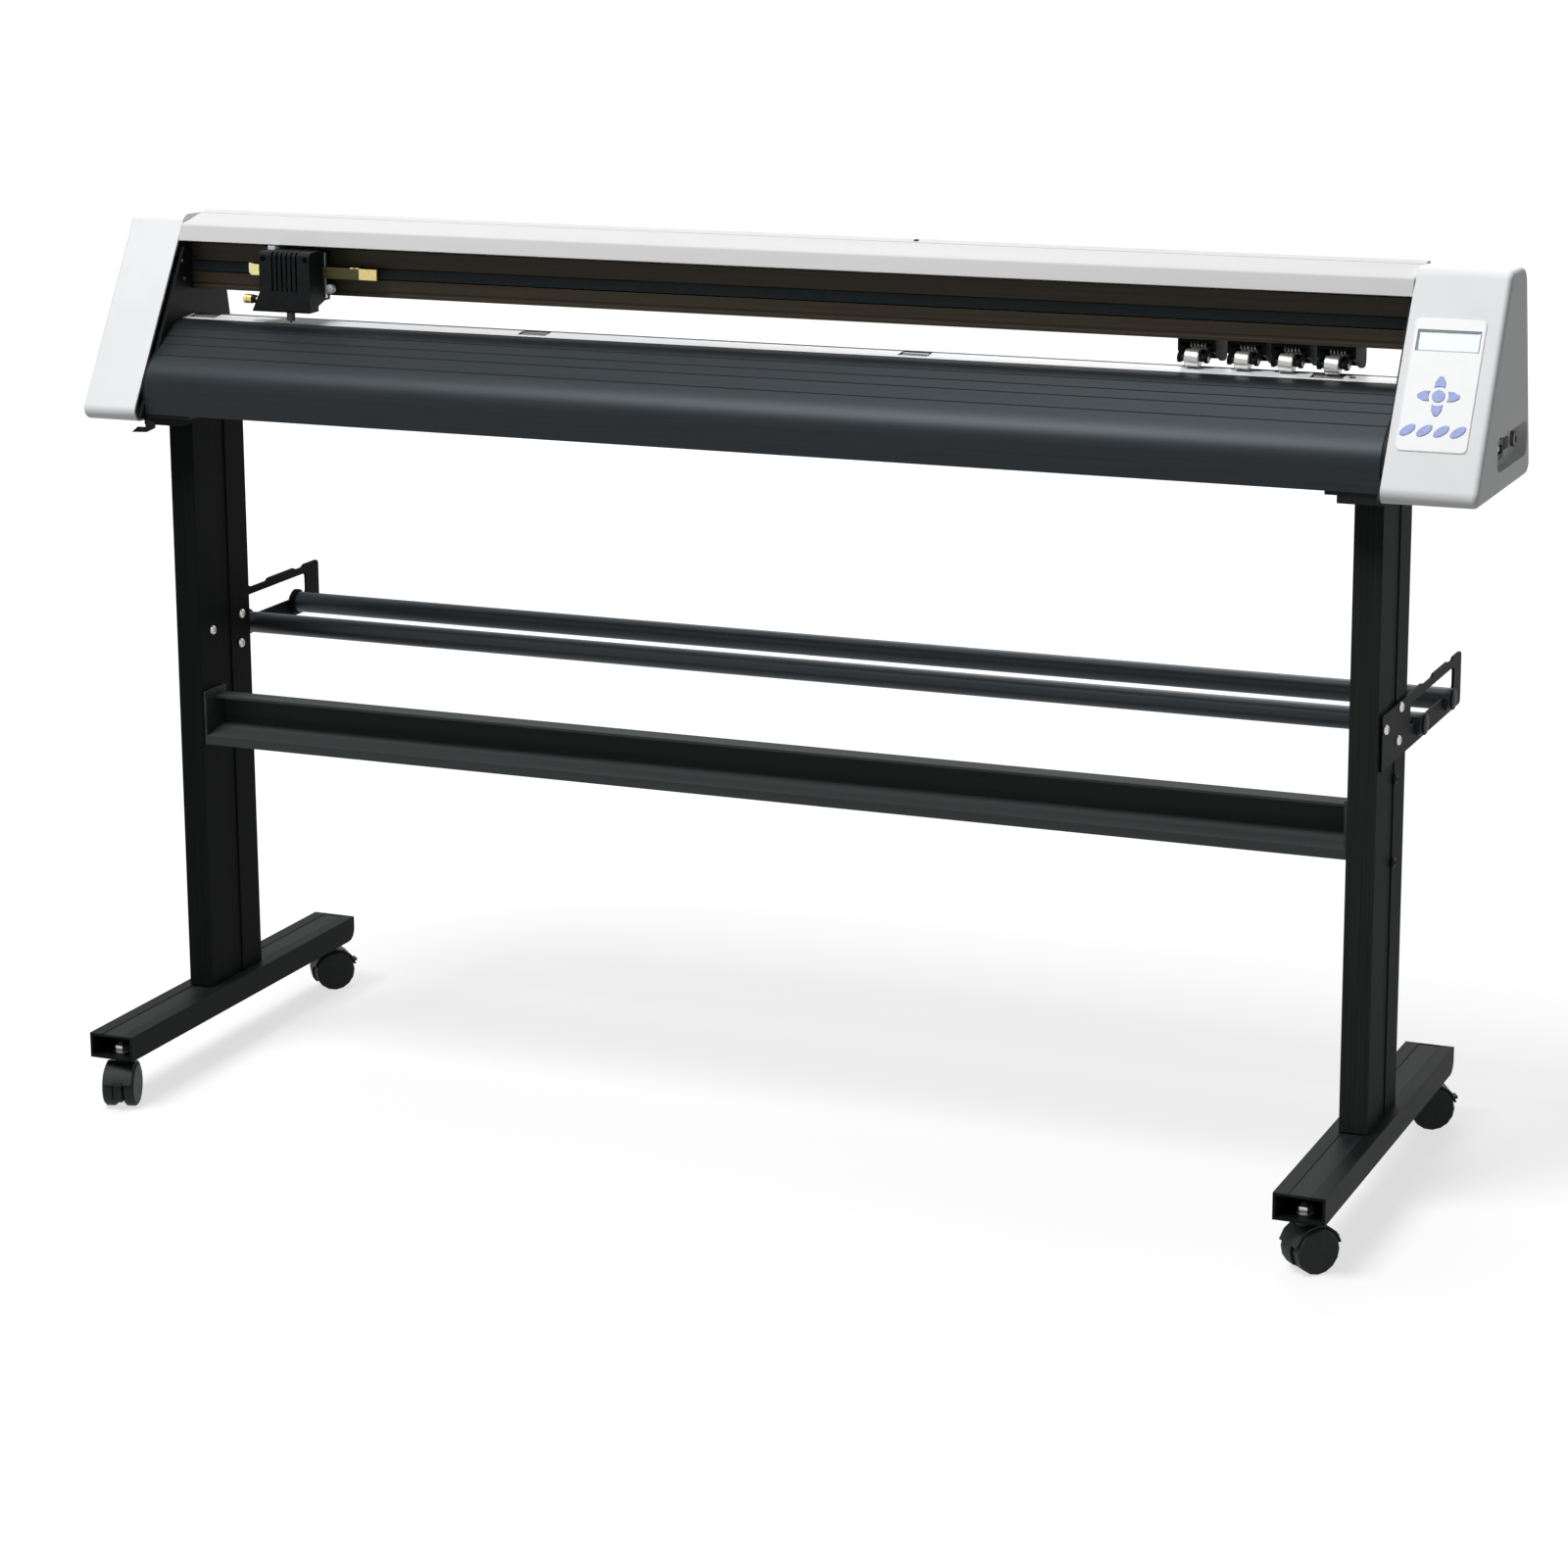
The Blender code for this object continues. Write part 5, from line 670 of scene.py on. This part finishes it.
def dress_platen():
    """A near-white sheet on the platen's flat top, cut back at each drum, that paints the reflection of the
    white backdrop in that glossy top; its screw, and the ends of the nose.
    """
    bm = bmesh.new()
    edges = [STRIP_ENDS[0]]
    for x in DRUMS_X:
        edges += [x - WINDOW_REACH, x + WINDOW_REACH]
    edges.append(STRIP_ENDS[1])
    edges = [min(max(x, STRIP_ENDS[0]), STRIP_ENDS[1]) for x in edges]
    z_front = surface("platen", (0, STRIP_FRONT_Y, STRIP_LOOK_Z), (0, 0, -1))[0].z
    z_back = surface("platen", (0, STRIP_BACK_Y, STRIP_LOOK_Z), (0, 0, -1))[0].z
    slope = (z_back - z_front) / (STRIP_BACK_Y - STRIP_FRONT_Y)
    lean = Matrix(((1, 0, 0, 0), (0, 1, 0, 0), (0, slope, 1, z_front - slope * STRIP_FRONT_Y), (0, 0, 0, 1)))
    for i, (left, right) in enumerate(zip(edges, edges[1:])):
        far = STRIP_BACK_Y if i % 2 == 0 else WINDOW_FRONT_Y
        if right > left:
            outline = ((left, STRIP_FRONT_Y), (right, STRIP_FRONT_Y), (right, far), (left, far))
            slab(bm, outline, SEAT / 2, SEAT / 2 + STRIP_THICKNESS, lean)
    solid("platen_top_reflection_sheet", bm, "frame", painted_reflection_white)
    bm = bmesh.new()
    place = lean @ Vector((*STRIP_SCREW, SEAT / 2 + STRIP_THICKNESS))
    lathe(bm, STRIP_SCREW_HEAD, basis(place, (0, -slope, 1), (0, 1, 0)))
    solid("strip_screw", bm, "frame", bolt_dull)
    bm = bmesh.new()
    for ends in NOSE_ENDS_X.values():
        slab(bm, NOSE_END, *ends, FACING_SIDE)
    solid("platen_ends", bm, "frame", paint_black)


SPRING_AXIS = (0.0255, 0.9155)
SPRING_RADIUS = 0.0030
SPRING_WIRE = 0.00090
SPRING_LENGTH = 0.019
SPRING_CURLS = 5
CURL_STEPS = 16
PINCH_AXIS = (0.005, 0.90489)
SLEEVE_ENDS = (0.0083, 0.0125)
SLEEVE_RADII = (0.0026, 0.0036)


def dress_pinch_rollers():
    """The round wire of each pinch roller's spring, and the sleeves on its axle."""
    steps = SPRING_CURLS * CURL_STEPS
    for number, x in PINCHES_X.items():
        points = []
        for i in range(steps + 1):
            turn = 2 * math.pi * i / CURL_STEPS
            along = x + SPRING_LENGTH * (i / steps - 0.5)
            y = SPRING_AXIS[0] + SPRING_RADIUS * math.cos(turn)
            z = SPRING_AXIS[1] + SPRING_RADIUS * math.sin(turn)
            points.append(Vector((along, y, z)))
        bm = bmesh.new()
        tube(bm, points, SPRING_WIRE)
        solid("pinch_spring_" + str(number), bm, "pinch_arm_" + str(number), spring_steel_highlit)
        bm = bmesh.new()
        near, far = SLEEVE_ENDS
        bore, rim = SLEEVE_RADII
        ring = ((bore, near), (rim, near), (rim, far - SEAT), (rim - SEAT, far), (bore, far))
        for out in (-1, 1):
            hollow_lathe(bm, ring, basis((x, *PINCH_AXIS), (out, 0, 0)))
        roller = "pinch_roller_" + str(number)
        solid("pinch_sleeves_" + str(number), bm, roller, plastic_black)


COVER_SCREW = (0.151, 0.052)
COVER_SCREW_SIZE = (0.0030, 0.0012)
COVER_LOOK_Z = 1.2
PLATE_SCREWS = ((-0.0088, 0.9591), (-0.0059, 0.9380))
PLATE_SCREW_SIZE = (0.0022, 0.0012)
SIDE_PLATE_LOOK_X = -0.70
CATCH = ((-0.7635, 0.7702), (-0.7553, 0.7769), (-0.7447, 0.7770), (-0.7443, 0.7863), (-0.7318, 0.7828),
         (-0.7321, 0.7763), (-0.7436, 0.7710))
CATCH_Y = (-0.1060, -0.1042)


def dress_head():
    """A screw in the cover's top, two in the left plate, and a bent catch in front of the left head plate."""
    bm = bmesh.new()
    place, out = surface("top_cover", (*COVER_SCREW, COVER_LOOK_Z), (0, 0, -1))
    bolt(bm, place, out, *COVER_SCREW_SIZE)
    solid("cover_screw", bm, "frame", bolt_black)
    bm = bmesh.new()
    for y, z in PLATE_SCREWS:
        place, out = surface("left_side_plate", (SIDE_PLATE_LOOK_X, y, z), (-1, 0, 0))
        bolt(bm, place, out, *PLATE_SCREW_SIZE)
    solid("plate_screws", bm, "frame", bolt_dull)
    bm = bmesh.new()
    slab(bm, CATCH, *CATCH_Y, FACING_FRONT)
    solid("bent_catch", bm, "frame", paint_black)


CLAMP_BAR_Z = (0.946, 0.958)
# The brass covers the front part of the belt's clamp bar, and stands off it by the skin
CLAMP_BRASS_Y = (-0.0039, 0.0003)
CLAMP_SKIN = 0.0002
NUB_CHAMFER = 0.0030
NUB_SHOULDER = 0.0065
NUB_LIP = ((0.0020, 0.0016), (0, 0.0012))
CLIP_X = (-0.5248, -0.5133)
# Corners of the clip's teeth: fifths of its length, and heights over the bar
CLIP_TEETH = ((5, 0.0012), (3, 0.0012), (3, 0.0003), (2, 0.0003), (2, 0.0012), (0, 0.0012))
CLIP_PARTS = 5


def dress_clamp_bar(bar_ends, cover_sides):
    """The clamp bar's brass: a nub at the left, a dull middle, and a bright end with a toothed clip."""
    foot = CLAMP_BAR_Z[0] - CLAMP_SKIN
    top = CLAMP_BAR_Z[1] + CLAMP_SKIN
    left_end = bar_ends[0] - CLAMP_SKIN
    right_end = bar_ends[1] + CLAMP_SKIN
    near_left = cover_sides[0] - 2 * SEAT
    near_right = cover_sides[1] + 2 * SEAT
    bm = bmesh.new()
    nub = [
        (left_end, foot + NUB_CHAMFER),
        (left_end + NUB_CHAMFER, foot),
        (near_left, foot),
        (near_left, top),
        (left_end + NUB_SHOULDER, top),
    ]
    nub += [(left_end + along, top + rise) for along, rise in NUB_LIP]
    slab(bm, nub, *CLAMP_BRASS_Y, FACING_FRONT)
    solid("clamp_bar_nub", bm, "carriage", pale_brass)
    bm = bmesh.new()
    middle = ((near_right, foot), (CLIP_X[1], foot), (CLIP_X[1], top), (near_right, top))
    slab(bm, middle, *CLAMP_BRASS_Y, FACING_FRONT)
    solid("clamp_bar_middle", bm, "carriage", dull_brass)
    bm = bmesh.new()
    end = ((CLIP_X[1], foot), (right_end, foot), (right_end, top), (CLIP_X[1], top))
    slab(bm, end, *CLAMP_BRASS_Y, FACING_FRONT)
    part = (CLIP_X[1] - CLIP_X[0]) / CLIP_PARTS
    clip = [(CLIP_X[0], top), (CLIP_X[1], top)]
    clip += [(CLIP_X[0] + part * i, top + height) for i, height in CLIP_TEETH]
    slab(bm, clip, *CLAMP_BRASS_Y, FACING_FRONT)
    solid("clamp_bar_end", bm, "carriage", brass)


EDGE_PLATE_Y = (0.0012, 0.0050)
EDGE_PLATE_FOOT = 0.922
EDGE_PLATE_DROP = 0.003
EDGE_PLATE_THICKNESS = 0.0012
PLATE_LOOK = (-0.45, 0.008, 0.935)
GUIDE_X = -0.5549
GUIDE_Y = 0.0110
GUIDE_Z = 0.9330
GUIDE_ARM_START = 0.0013
GUIDE_ARM_HALF = 0.003
GUIDE_ARM_Y = (0.0086, 0.0126)
GUIDE_PIN = ((0.0018, -0.0015), (0.0018, 0.0028))
# The roller's radii and places along its axle: a groove between two rims, and a domed front
GUIDE_WHEEL = (
    (0.0046, 0.0030),
    (0.0054, 0.0038),
    (0.0054, 0.0060),
    (0.0044, 0.0072),
    (0.0054, 0.0084),
    (0.0054, 0.0106),
    (0.0046, 0.0114),
    (0.0030, 0.0120),
    (0, 0.0123),
)
GUIDE_SIDES = 32


def dress_guide_roller(cover_top):
    """The bright edge plate of the carriage, and the guide roller on its short arm."""
    edge_x = surface("carriage_plate", PLATE_LOOK, (-1, 0, 0))[0].x
    front, back = EDGE_PLATE_Y
    top = cover_top - EDGE_PLATE_DROP
    bm = bmesh.new()
    edge = ((front, EDGE_PLATE_FOOT), (back, EDGE_PLATE_FOOT), (back, top), (front, top))
    slab(bm, edge, edge_x + SEAT, edge_x + EDGE_PLATE_THICKNESS, FACING_SIDE)
    solid("carriage_edge_plate", bm, "carriage", bolt_metal)
    bm = bmesh.new()
    start = edge_x + GUIDE_ARM_START
    low = GUIDE_Z - GUIDE_ARM_HALF
    high = GUIDE_Z + GUIDE_ARM_HALF
    arm = ((start, low), (GUIDE_X, low), (GUIDE_X, high), (start, high))
    slab(bm, arm, *GUIDE_ARM_Y, FACING_FRONT)
    axle = basis((GUIDE_X, GUIDE_Y, GUIDE_Z), (0, -1, 0))
    lathe(bm, GUIDE_PIN, axle, SMALL_SIDES)
    solid("guide_roller_arm", bm, "carriage", bolt_black)
    bm = bmesh.new()
    lathe(bm, GUIDE_WHEEL, axle, GUIDE_SIDES)
    solid("guide_roller", bm, "carriage", nylon)


WELLS_X = (-0.6215, -0.5665)
WELL_Z = 0.9700
WELL_LOOK_Y = -0.2
# A shallow disc on the cover for each screw well, coloured with painted shade
WELL = ((0.0031, SEAT / 2), (0.0029, 0.0003), (0.0020, 0.00035), (0, 0.00025))
TAB_X = -0.6195
TAB_HALF = 0.0045
TAB_LOOK = (-0.010, 1.0)
# The tab's outline: places along Y, and heights over the cover
TAB = ((-0.018, SEAT), (-0.004, SEAT), (-0.004, 0.0012), (-0.0165, 0.0045), (-0.018, 0.0045))


def dress_carriage_cover():
    """Near-black discs of painted shade at the cover's two screw wells, and the sensor tab on its top."""
    bm = bmesh.new()
    for x in WELLS_X:
        place, out = surface("carriage_cover", (x, WELL_LOOK_Y, WELL_Z), (0, 1, 0))
        lathe(bm, WELL, basis(place, out))
    solid("cover_screw_well_shade", bm, "carriage", hole_painted_shade)
    bm = bmesh.new()
    top = surface("carriage_cover", (TAB_X, *TAB_LOOK), (0, 0, -1))[0].z
    tab = [(y, top + height) for y, height in TAB]
    slab(bm, tab, TAB_X - TAB_HALF, TAB_X + TAB_HALF, FACING_SIDE)
    solid("sensor_tab", bm, "carriage", nylon)


CLAMP_HEAD = (-0.650, -0.0217, 0.9205)
CLAMP_CAP = (
    (0.0050, SEAT),
    (0.0056, 0.0007),
    (0.0056, 0.0036),
    (0.0050, 0.0044),
    (0.0031, 0.0044),
    (0.0026, 0.0026),
    (0, 0.0026),
)
CLAMP_NECK_X = (-0.6436, -0.6394)
COLLAR_BORE = 0.0026
COLLAR_FACE = 0.0044
COLLAR_RIM = 0.0048


def dress_clamp_screw():
    """The clamp screw's hollow cap, and the collar round its neck."""
    bm = bmesh.new()
    lathe(bm, CLAMP_CAP, basis(CLAMP_HEAD, (-1, 0, 0)))
    solid("clamp_screw_cap", bm, "clamp_screw", pale_brass)
    bm = bmesh.new()
    near, far = CLAMP_NECK_X
    ring = (
        (COLLAR_BORE, near),
        (COLLAR_FACE, near),
        (COLLAR_RIM, near + SEAT),
        (COLLAR_RIM, far - SEAT),
        (COLLAR_FACE, far),
        (COLLAR_BORE, far),
    )
    hollow_lathe(bm, ring, basis((0, *CLAMP_HEAD[1:]), (1, 0, 0)))
    solid("clamp_screw_collar", bm, "clamp_screw", plastic_black)


def dress_carriage():
    """All trim of the carriage, placed by the boxes of its plate and its cover."""
    low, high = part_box("carriage_plate")
    cover_low, cover_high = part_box("carriage_cover")
    dress_clamp_bar((low.x, high.x), (cover_low.x, cover_high.x))
    dress_guide_roller(cover_high.z)
    dress_carriage_cover()
    dress_clamp_screw()


RIGHT_BOLTS = ((0.0160, 0.5425), (-0.0455, 0.5315), (0.0085, 0.5080))
LEFT_BOLTS = ((0.0360, 0.5302), (-0.0334, 0.5240), (0.0324, 0.4949))
BEAM_BOLTS = ((0.0125, 0.4644), (0.0125, 0.3723))
BOLT_RADIUS = 0.0056
BOLT_HEIGHT = 0.0034
# Rays at the stand start outside it, or between its uprights
OUTSIDE_X = 0.9
BETWEEN_X = -0.6


def dress_uprights():
    """Bright bolts that hold the roll brackets, and black ones that hold the cross beam."""
    bm = bmesh.new()
    for y, z in RIGHT_BOLTS:
        place, out = surface("right_roll_bracket", (OUTSIDE_X, y, z), (-1, 0, 0))
        bolt(bm, place, out, BOLT_RADIUS, BOLT_HEIGHT)
    for y, z in LEFT_BOLTS:
        place, out = surface("left_upright", (BETWEEN_X, y, z), (-1, 0, 0))
        bolt(bm, place, out, BOLT_RADIUS, BOLT_HEIGHT)
    solid("stand_bolts", bm, "frame", bolt_metal)
    bm = bmesh.new()
    for y, z in BEAM_BOLTS:
        place, out = surface("right_upright", (OUTSIDE_X, y, z), (-1, 0, 0))
        bolt(bm, place, out, BOLT_RADIUS, BOLT_HEIGHT)
        place, out = surface("left_upright", (-OUTSIDE_X, y, z), (1, 0, 0))
        bolt(bm, place, out, BOLT_RADIUS, BOLT_HEIGHT)
    solid("beam_bolts", bm, "frame", bolt_black)


# Plugs in the bars' ends, domed at the right and flush at the left: radii, and places past the end
DOMED_PLUG = (
    (0.0104, -0.010),
    (0.0104, SEAT),
    (0.0121, SEAT),
    (0.0121, 0.0012),
    (0.0108, 0.0027),
    (0.0062, 0.0037),
    (0, 0.0040),
)
FLUSH_PLUG = ((0.0104, -0.010), (0.0104, -0.0008), (0.0098, -0.0003), (0, -0.0003))
CUP_X = (-0.7390, -0.7330)
CUP_BORE = 0.0130
CUP_RIM = 0.0156
CUP_BEVEL = 0.0010
CUP_SIDES = 32


def dress_media_bars():
    """Plugs in both ends of each bar, and the cup on the left bracket round each bar."""
    for end, y in MEDIA_BARS_Y.items():
        bm = bmesh.new()
        low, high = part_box(end + "_media_bar")
        lathe(bm, DOMED_PLUG, basis((high.x, y, MEDIA_BAR_Z), (1, 0, 0)))
        lathe(bm, FLUSH_PLUG, basis((low.x, y, MEDIA_BAR_Z), (-1, 0, 0)))
        solid(end + "_bar_plugs", bm, end + "_media_bar", plastic_black)
        bm = bmesh.new()
        near, far = CUP_X
        cup = (
            (CUP_BORE, near),
            (CUP_RIM, near),
            (CUP_RIM, far - CUP_BEVEL),
            (CUP_RIM - CUP_BEVEL, far),
            (CUP_BORE, far),
        )
        hollow_lathe(bm, cup, basis((0, y, MEDIA_BAR_Z), (1, 0, 0)), CUP_SIDES)
        solid(end + "_bar_cup", bm, "frame", bracket_paint)


FOOT_TRACK_WIDTH = 0.0232
FOOT_TRACK_RADIUS = 0.001
FOOT_TRACK_TOP = 0.0006
FOOT_LOOK = (-0.2, 0.2)
# Gaps at a foot's ends, and the edges of the upright's seat, where the tracks stop
TRACK_FRONT_GAP = 0.002
TRACK_BACK_GAP = 0.004
TRACK_STOPS_Y = (-0.0652, 0.0590)
STEM_FLOOR_Z = 0.0633
# Rings round a caster's stem: radii, and heights over the foot's floor
WASHER = ((0.0056, SEAT), (0.0098, SEAT), (0.0098, 0.0010), (0.0085, 0.0012), (0.0056, 0.0012))
NUT = (
    (0.0056, 0.0014),
    (0.0084, 0.0014),
    (0.0088, 0.0024),
    (0.0088, 0.0074),
    (0.0084, 0.0084),
    (0.0056, 0.0084),
)
HEX_SIDES = 6


def dress_feet():
    """Tracks on top of each foot, and a washer and nut on each caster's stem."""
    for side, x in STANDS.items():
        bm = bmesh.new()
        low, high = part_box(side + "_foot")
        top = surface(side + "_foot", (x, *FOOT_LOOK), (0, 0, -1))[0].z
        front_stop, back_stop = TRACK_STOPS_Y
        stretches = ((low.y + TRACK_FRONT_GAP, front_stop), (back_stop, high.y - TRACK_BACK_GAP))
        for front, back in stretches:
            place = Matrix.Translation((x, (front + back) / 2, top))
            track = rounded_outline(FOOT_TRACK_WIDTH, back - front, FOOT_TRACK_RADIUS)
            slab(bm, track, SEAT / 2, FOOT_TRACK_TOP, place)
        solid(side + "_foot_track", bm, "frame", track_grey)
        bm = bmesh.new()
        for y in CASTERS_Y.values():
            seat = basis((x, y, STEM_FLOOR_Z), (0, 0, 1), (0, 1, 0))
            hollow_lathe(bm, WASHER, seat)
            hollow_lathe(bm, NUT, seat, HEX_SIDES)
        solid(side + "_stem_nuts", bm, "frame", bolt_metal)


dress_panel()
dress_sockets()
dress_platen()
dress_pinch_rollers()
dress_head()
dress_carriage()
dress_uprights()
dress_media_bars()
dress_feet()


# Stage, light and camera

FLOOR_SIZE = 40
# The floor's glow as the eye sees it, near the object and far from it, and the distances between
FLOOR_GLOW = (("From Min", 0.5), ("From Max", 5.0), ("To Min", 0.67), ("To Max", 1.0))
# Strength of the world on the object, and to the eye and in reflections
WORLD_LIGHT = 0.12
WORLD_SEEN = 1.0
# Each lamp's place, the point that it faces, its diameter and its power in watts
LAMPS = {
    "key": ((-1.5, -2.7, 6.2), (0, 0, 0.7), 3.0, 352),
    "overhead": ((-0.35, 0.75, 5.6), (0.1, 0, 0.7), 2.2, 42),
    "rear": ((-0.9, 4.4, 3.6), (0, 0, 0.8), 3.0, 50),
}
CAMERA_PLACE = (1.7792, -4.2287, 1.5761)
CAMERA_YAW = math.radians(24.406)
CAMERA_PITCH = math.radians(-12.898)
CAMERA_ROLL = math.radians(-0.697)
CAMERA_SENSOR = 36
CAMERA_LENS = 95.98
CAMERA_SHIFT = (0.0787, -0.0713)
CAMERA_REACH = 200


def seen_rays(tree):
    """1 for rays that the eye, a mirror or glass sends out, 0 for light on the object."""
    ray = add(tree, "ShaderNodeLightPath")
    either = add(tree, "ShaderNodeMath", operation="MAXIMUM")
    clear = add(tree, "ShaderNodeMath", operation="MAXIMUM")
    tree.links.new(ray.outputs["Is Camera Ray"], either.inputs[0])
    tree.links.new(ray.outputs["Is Glossy Ray"], either.inputs[1])
    tree.links.new(either.outputs["Value"], clear.inputs[0])
    tree.links.new(ray.outputs["Is Transmission Ray"], clear.inputs[1])
    return clear.outputs["Value"]


def make_stage():
    """A floor that looks white and keeps the object's shadow. Its glow adds no light to the object."""
    bm = bmesh.new()
    bmesh.ops.create_grid(bm, x_segments=1, y_segments=1, size=FLOOR_SIZE)
    mesh = bpy.data.meshes.new("floor")
    bm.to_mesh(mesh)
    bm.free()
    floor = bpy.data.objects.new("floor", mesh)
    bpy.context.scene.collection.objects.link(floor)
    paint = finish(
        "floor_white", (0.355, 0.355, 0.355), (0.365, 0.365, 0.365), 2.0, rough=(0.90, 0.98), grain=300.0,
        bump=0.0, Specular_IOR_Level=0.0, Emission_Color=(1, 1, 1, 1),
    )
    tree = paint.node_tree
    place = add(tree, "ShaderNodeTexCoord")
    distance = add(tree, "ShaderNodeVectorMath", operation="LENGTH")
    tree.links.new(place.outputs["Object"], distance.inputs[0])
    level = add(tree, "ShaderNodeMapRange")
    for key, value in FLOOR_GLOW:
        level.inputs[key].default_value = value
    tree.links.new(distance.outputs["Value"], level.inputs["Value"])
    shown = add(tree, "ShaderNodeMath", operation="MULTIPLY")
    tree.links.new(seen_rays(tree), shown.inputs[0])
    tree.links.new(level.outputs["Result"], shown.inputs[1])
    tree.links.new(shown.outputs["Value"], tree.nodes["Principled BSDF"].inputs["Emission Strength"])
    mesh.materials.append(paint)


def make_world():
    """Plain white to the camera and in reflections, and a dim even light on the object."""
    world = bpy.data.worlds.new("studio")
    bpy.context.scene.world = world
    world.use_nodes = True
    tree = world.node_tree
    shade = tree.nodes["Background"]
    shade.inputs["Color"].default_value = (1, 1, 1, 1)
    level = add(tree, "ShaderNodeMapRange")
    level.inputs["To Min"].default_value = WORLD_LIGHT
    level.inputs["To Max"].default_value = WORLD_SEEN
    tree.links.new(seen_rays(tree), level.inputs["Value"])
    tree.links.new(level.outputs["Result"], shade.inputs["Strength"])


def area_light(name, place, target, size, power):
    """A round lamp that faces a point."""
    light = bpy.data.lights.new(name, "AREA")
    light.shape = "DISK"
    light.size = size
    light.energy = power
    lamp = bpy.data.objects.new(name, light)
    lamp.location = place
    lamp.rotation_mode = "QUATERNION"
    lamp.rotation_quaternion = (Vector(target) - Vector(place)).to_track_quat("-Z", "Y")
    bpy.context.scene.collection.objects.link(lamp)


def make_camera():
    """The photograph's own viewpoint, for a square picture."""
    level = Vector((math.cos(CAMERA_YAW), math.sin(CAMERA_YAW), 0))
    forward = Vector((-math.sin(CAMERA_YAW), math.cos(CAMERA_YAW), 0))
    ahead = math.cos(CAMERA_PITCH) * forward + math.sin(CAMERA_PITCH) * Vector((0, 0, 1))
    upward = level.cross(ahead)
    right = math.cos(CAMERA_ROLL) * level + math.sin(CAMERA_ROLL) * upward
    up = -math.sin(CAMERA_ROLL) * level + math.cos(CAMERA_ROLL) * upward
    turn = Matrix((right, up, -ahead)).transposed().to_4x4()
    turn.translation = CAMERA_PLACE
    data = bpy.data.cameras.new("camera")
    data.sensor_width = CAMERA_SENSOR
    data.lens = CAMERA_LENS
    data.shift_x, data.shift_y = CAMERA_SHIFT
    data.clip_end = CAMERA_REACH
    camera = bpy.data.objects.new("camera", data)
    camera.matrix_world = turn
    bpy.context.scene.collection.objects.link(camera)
    bpy.context.scene.camera = camera


make_stage()
make_world()
for name, values in LAMPS.items():
    area_light(name, *values)
make_camera()
bpy.context.scene.view_settings.view_transform = "Standard"
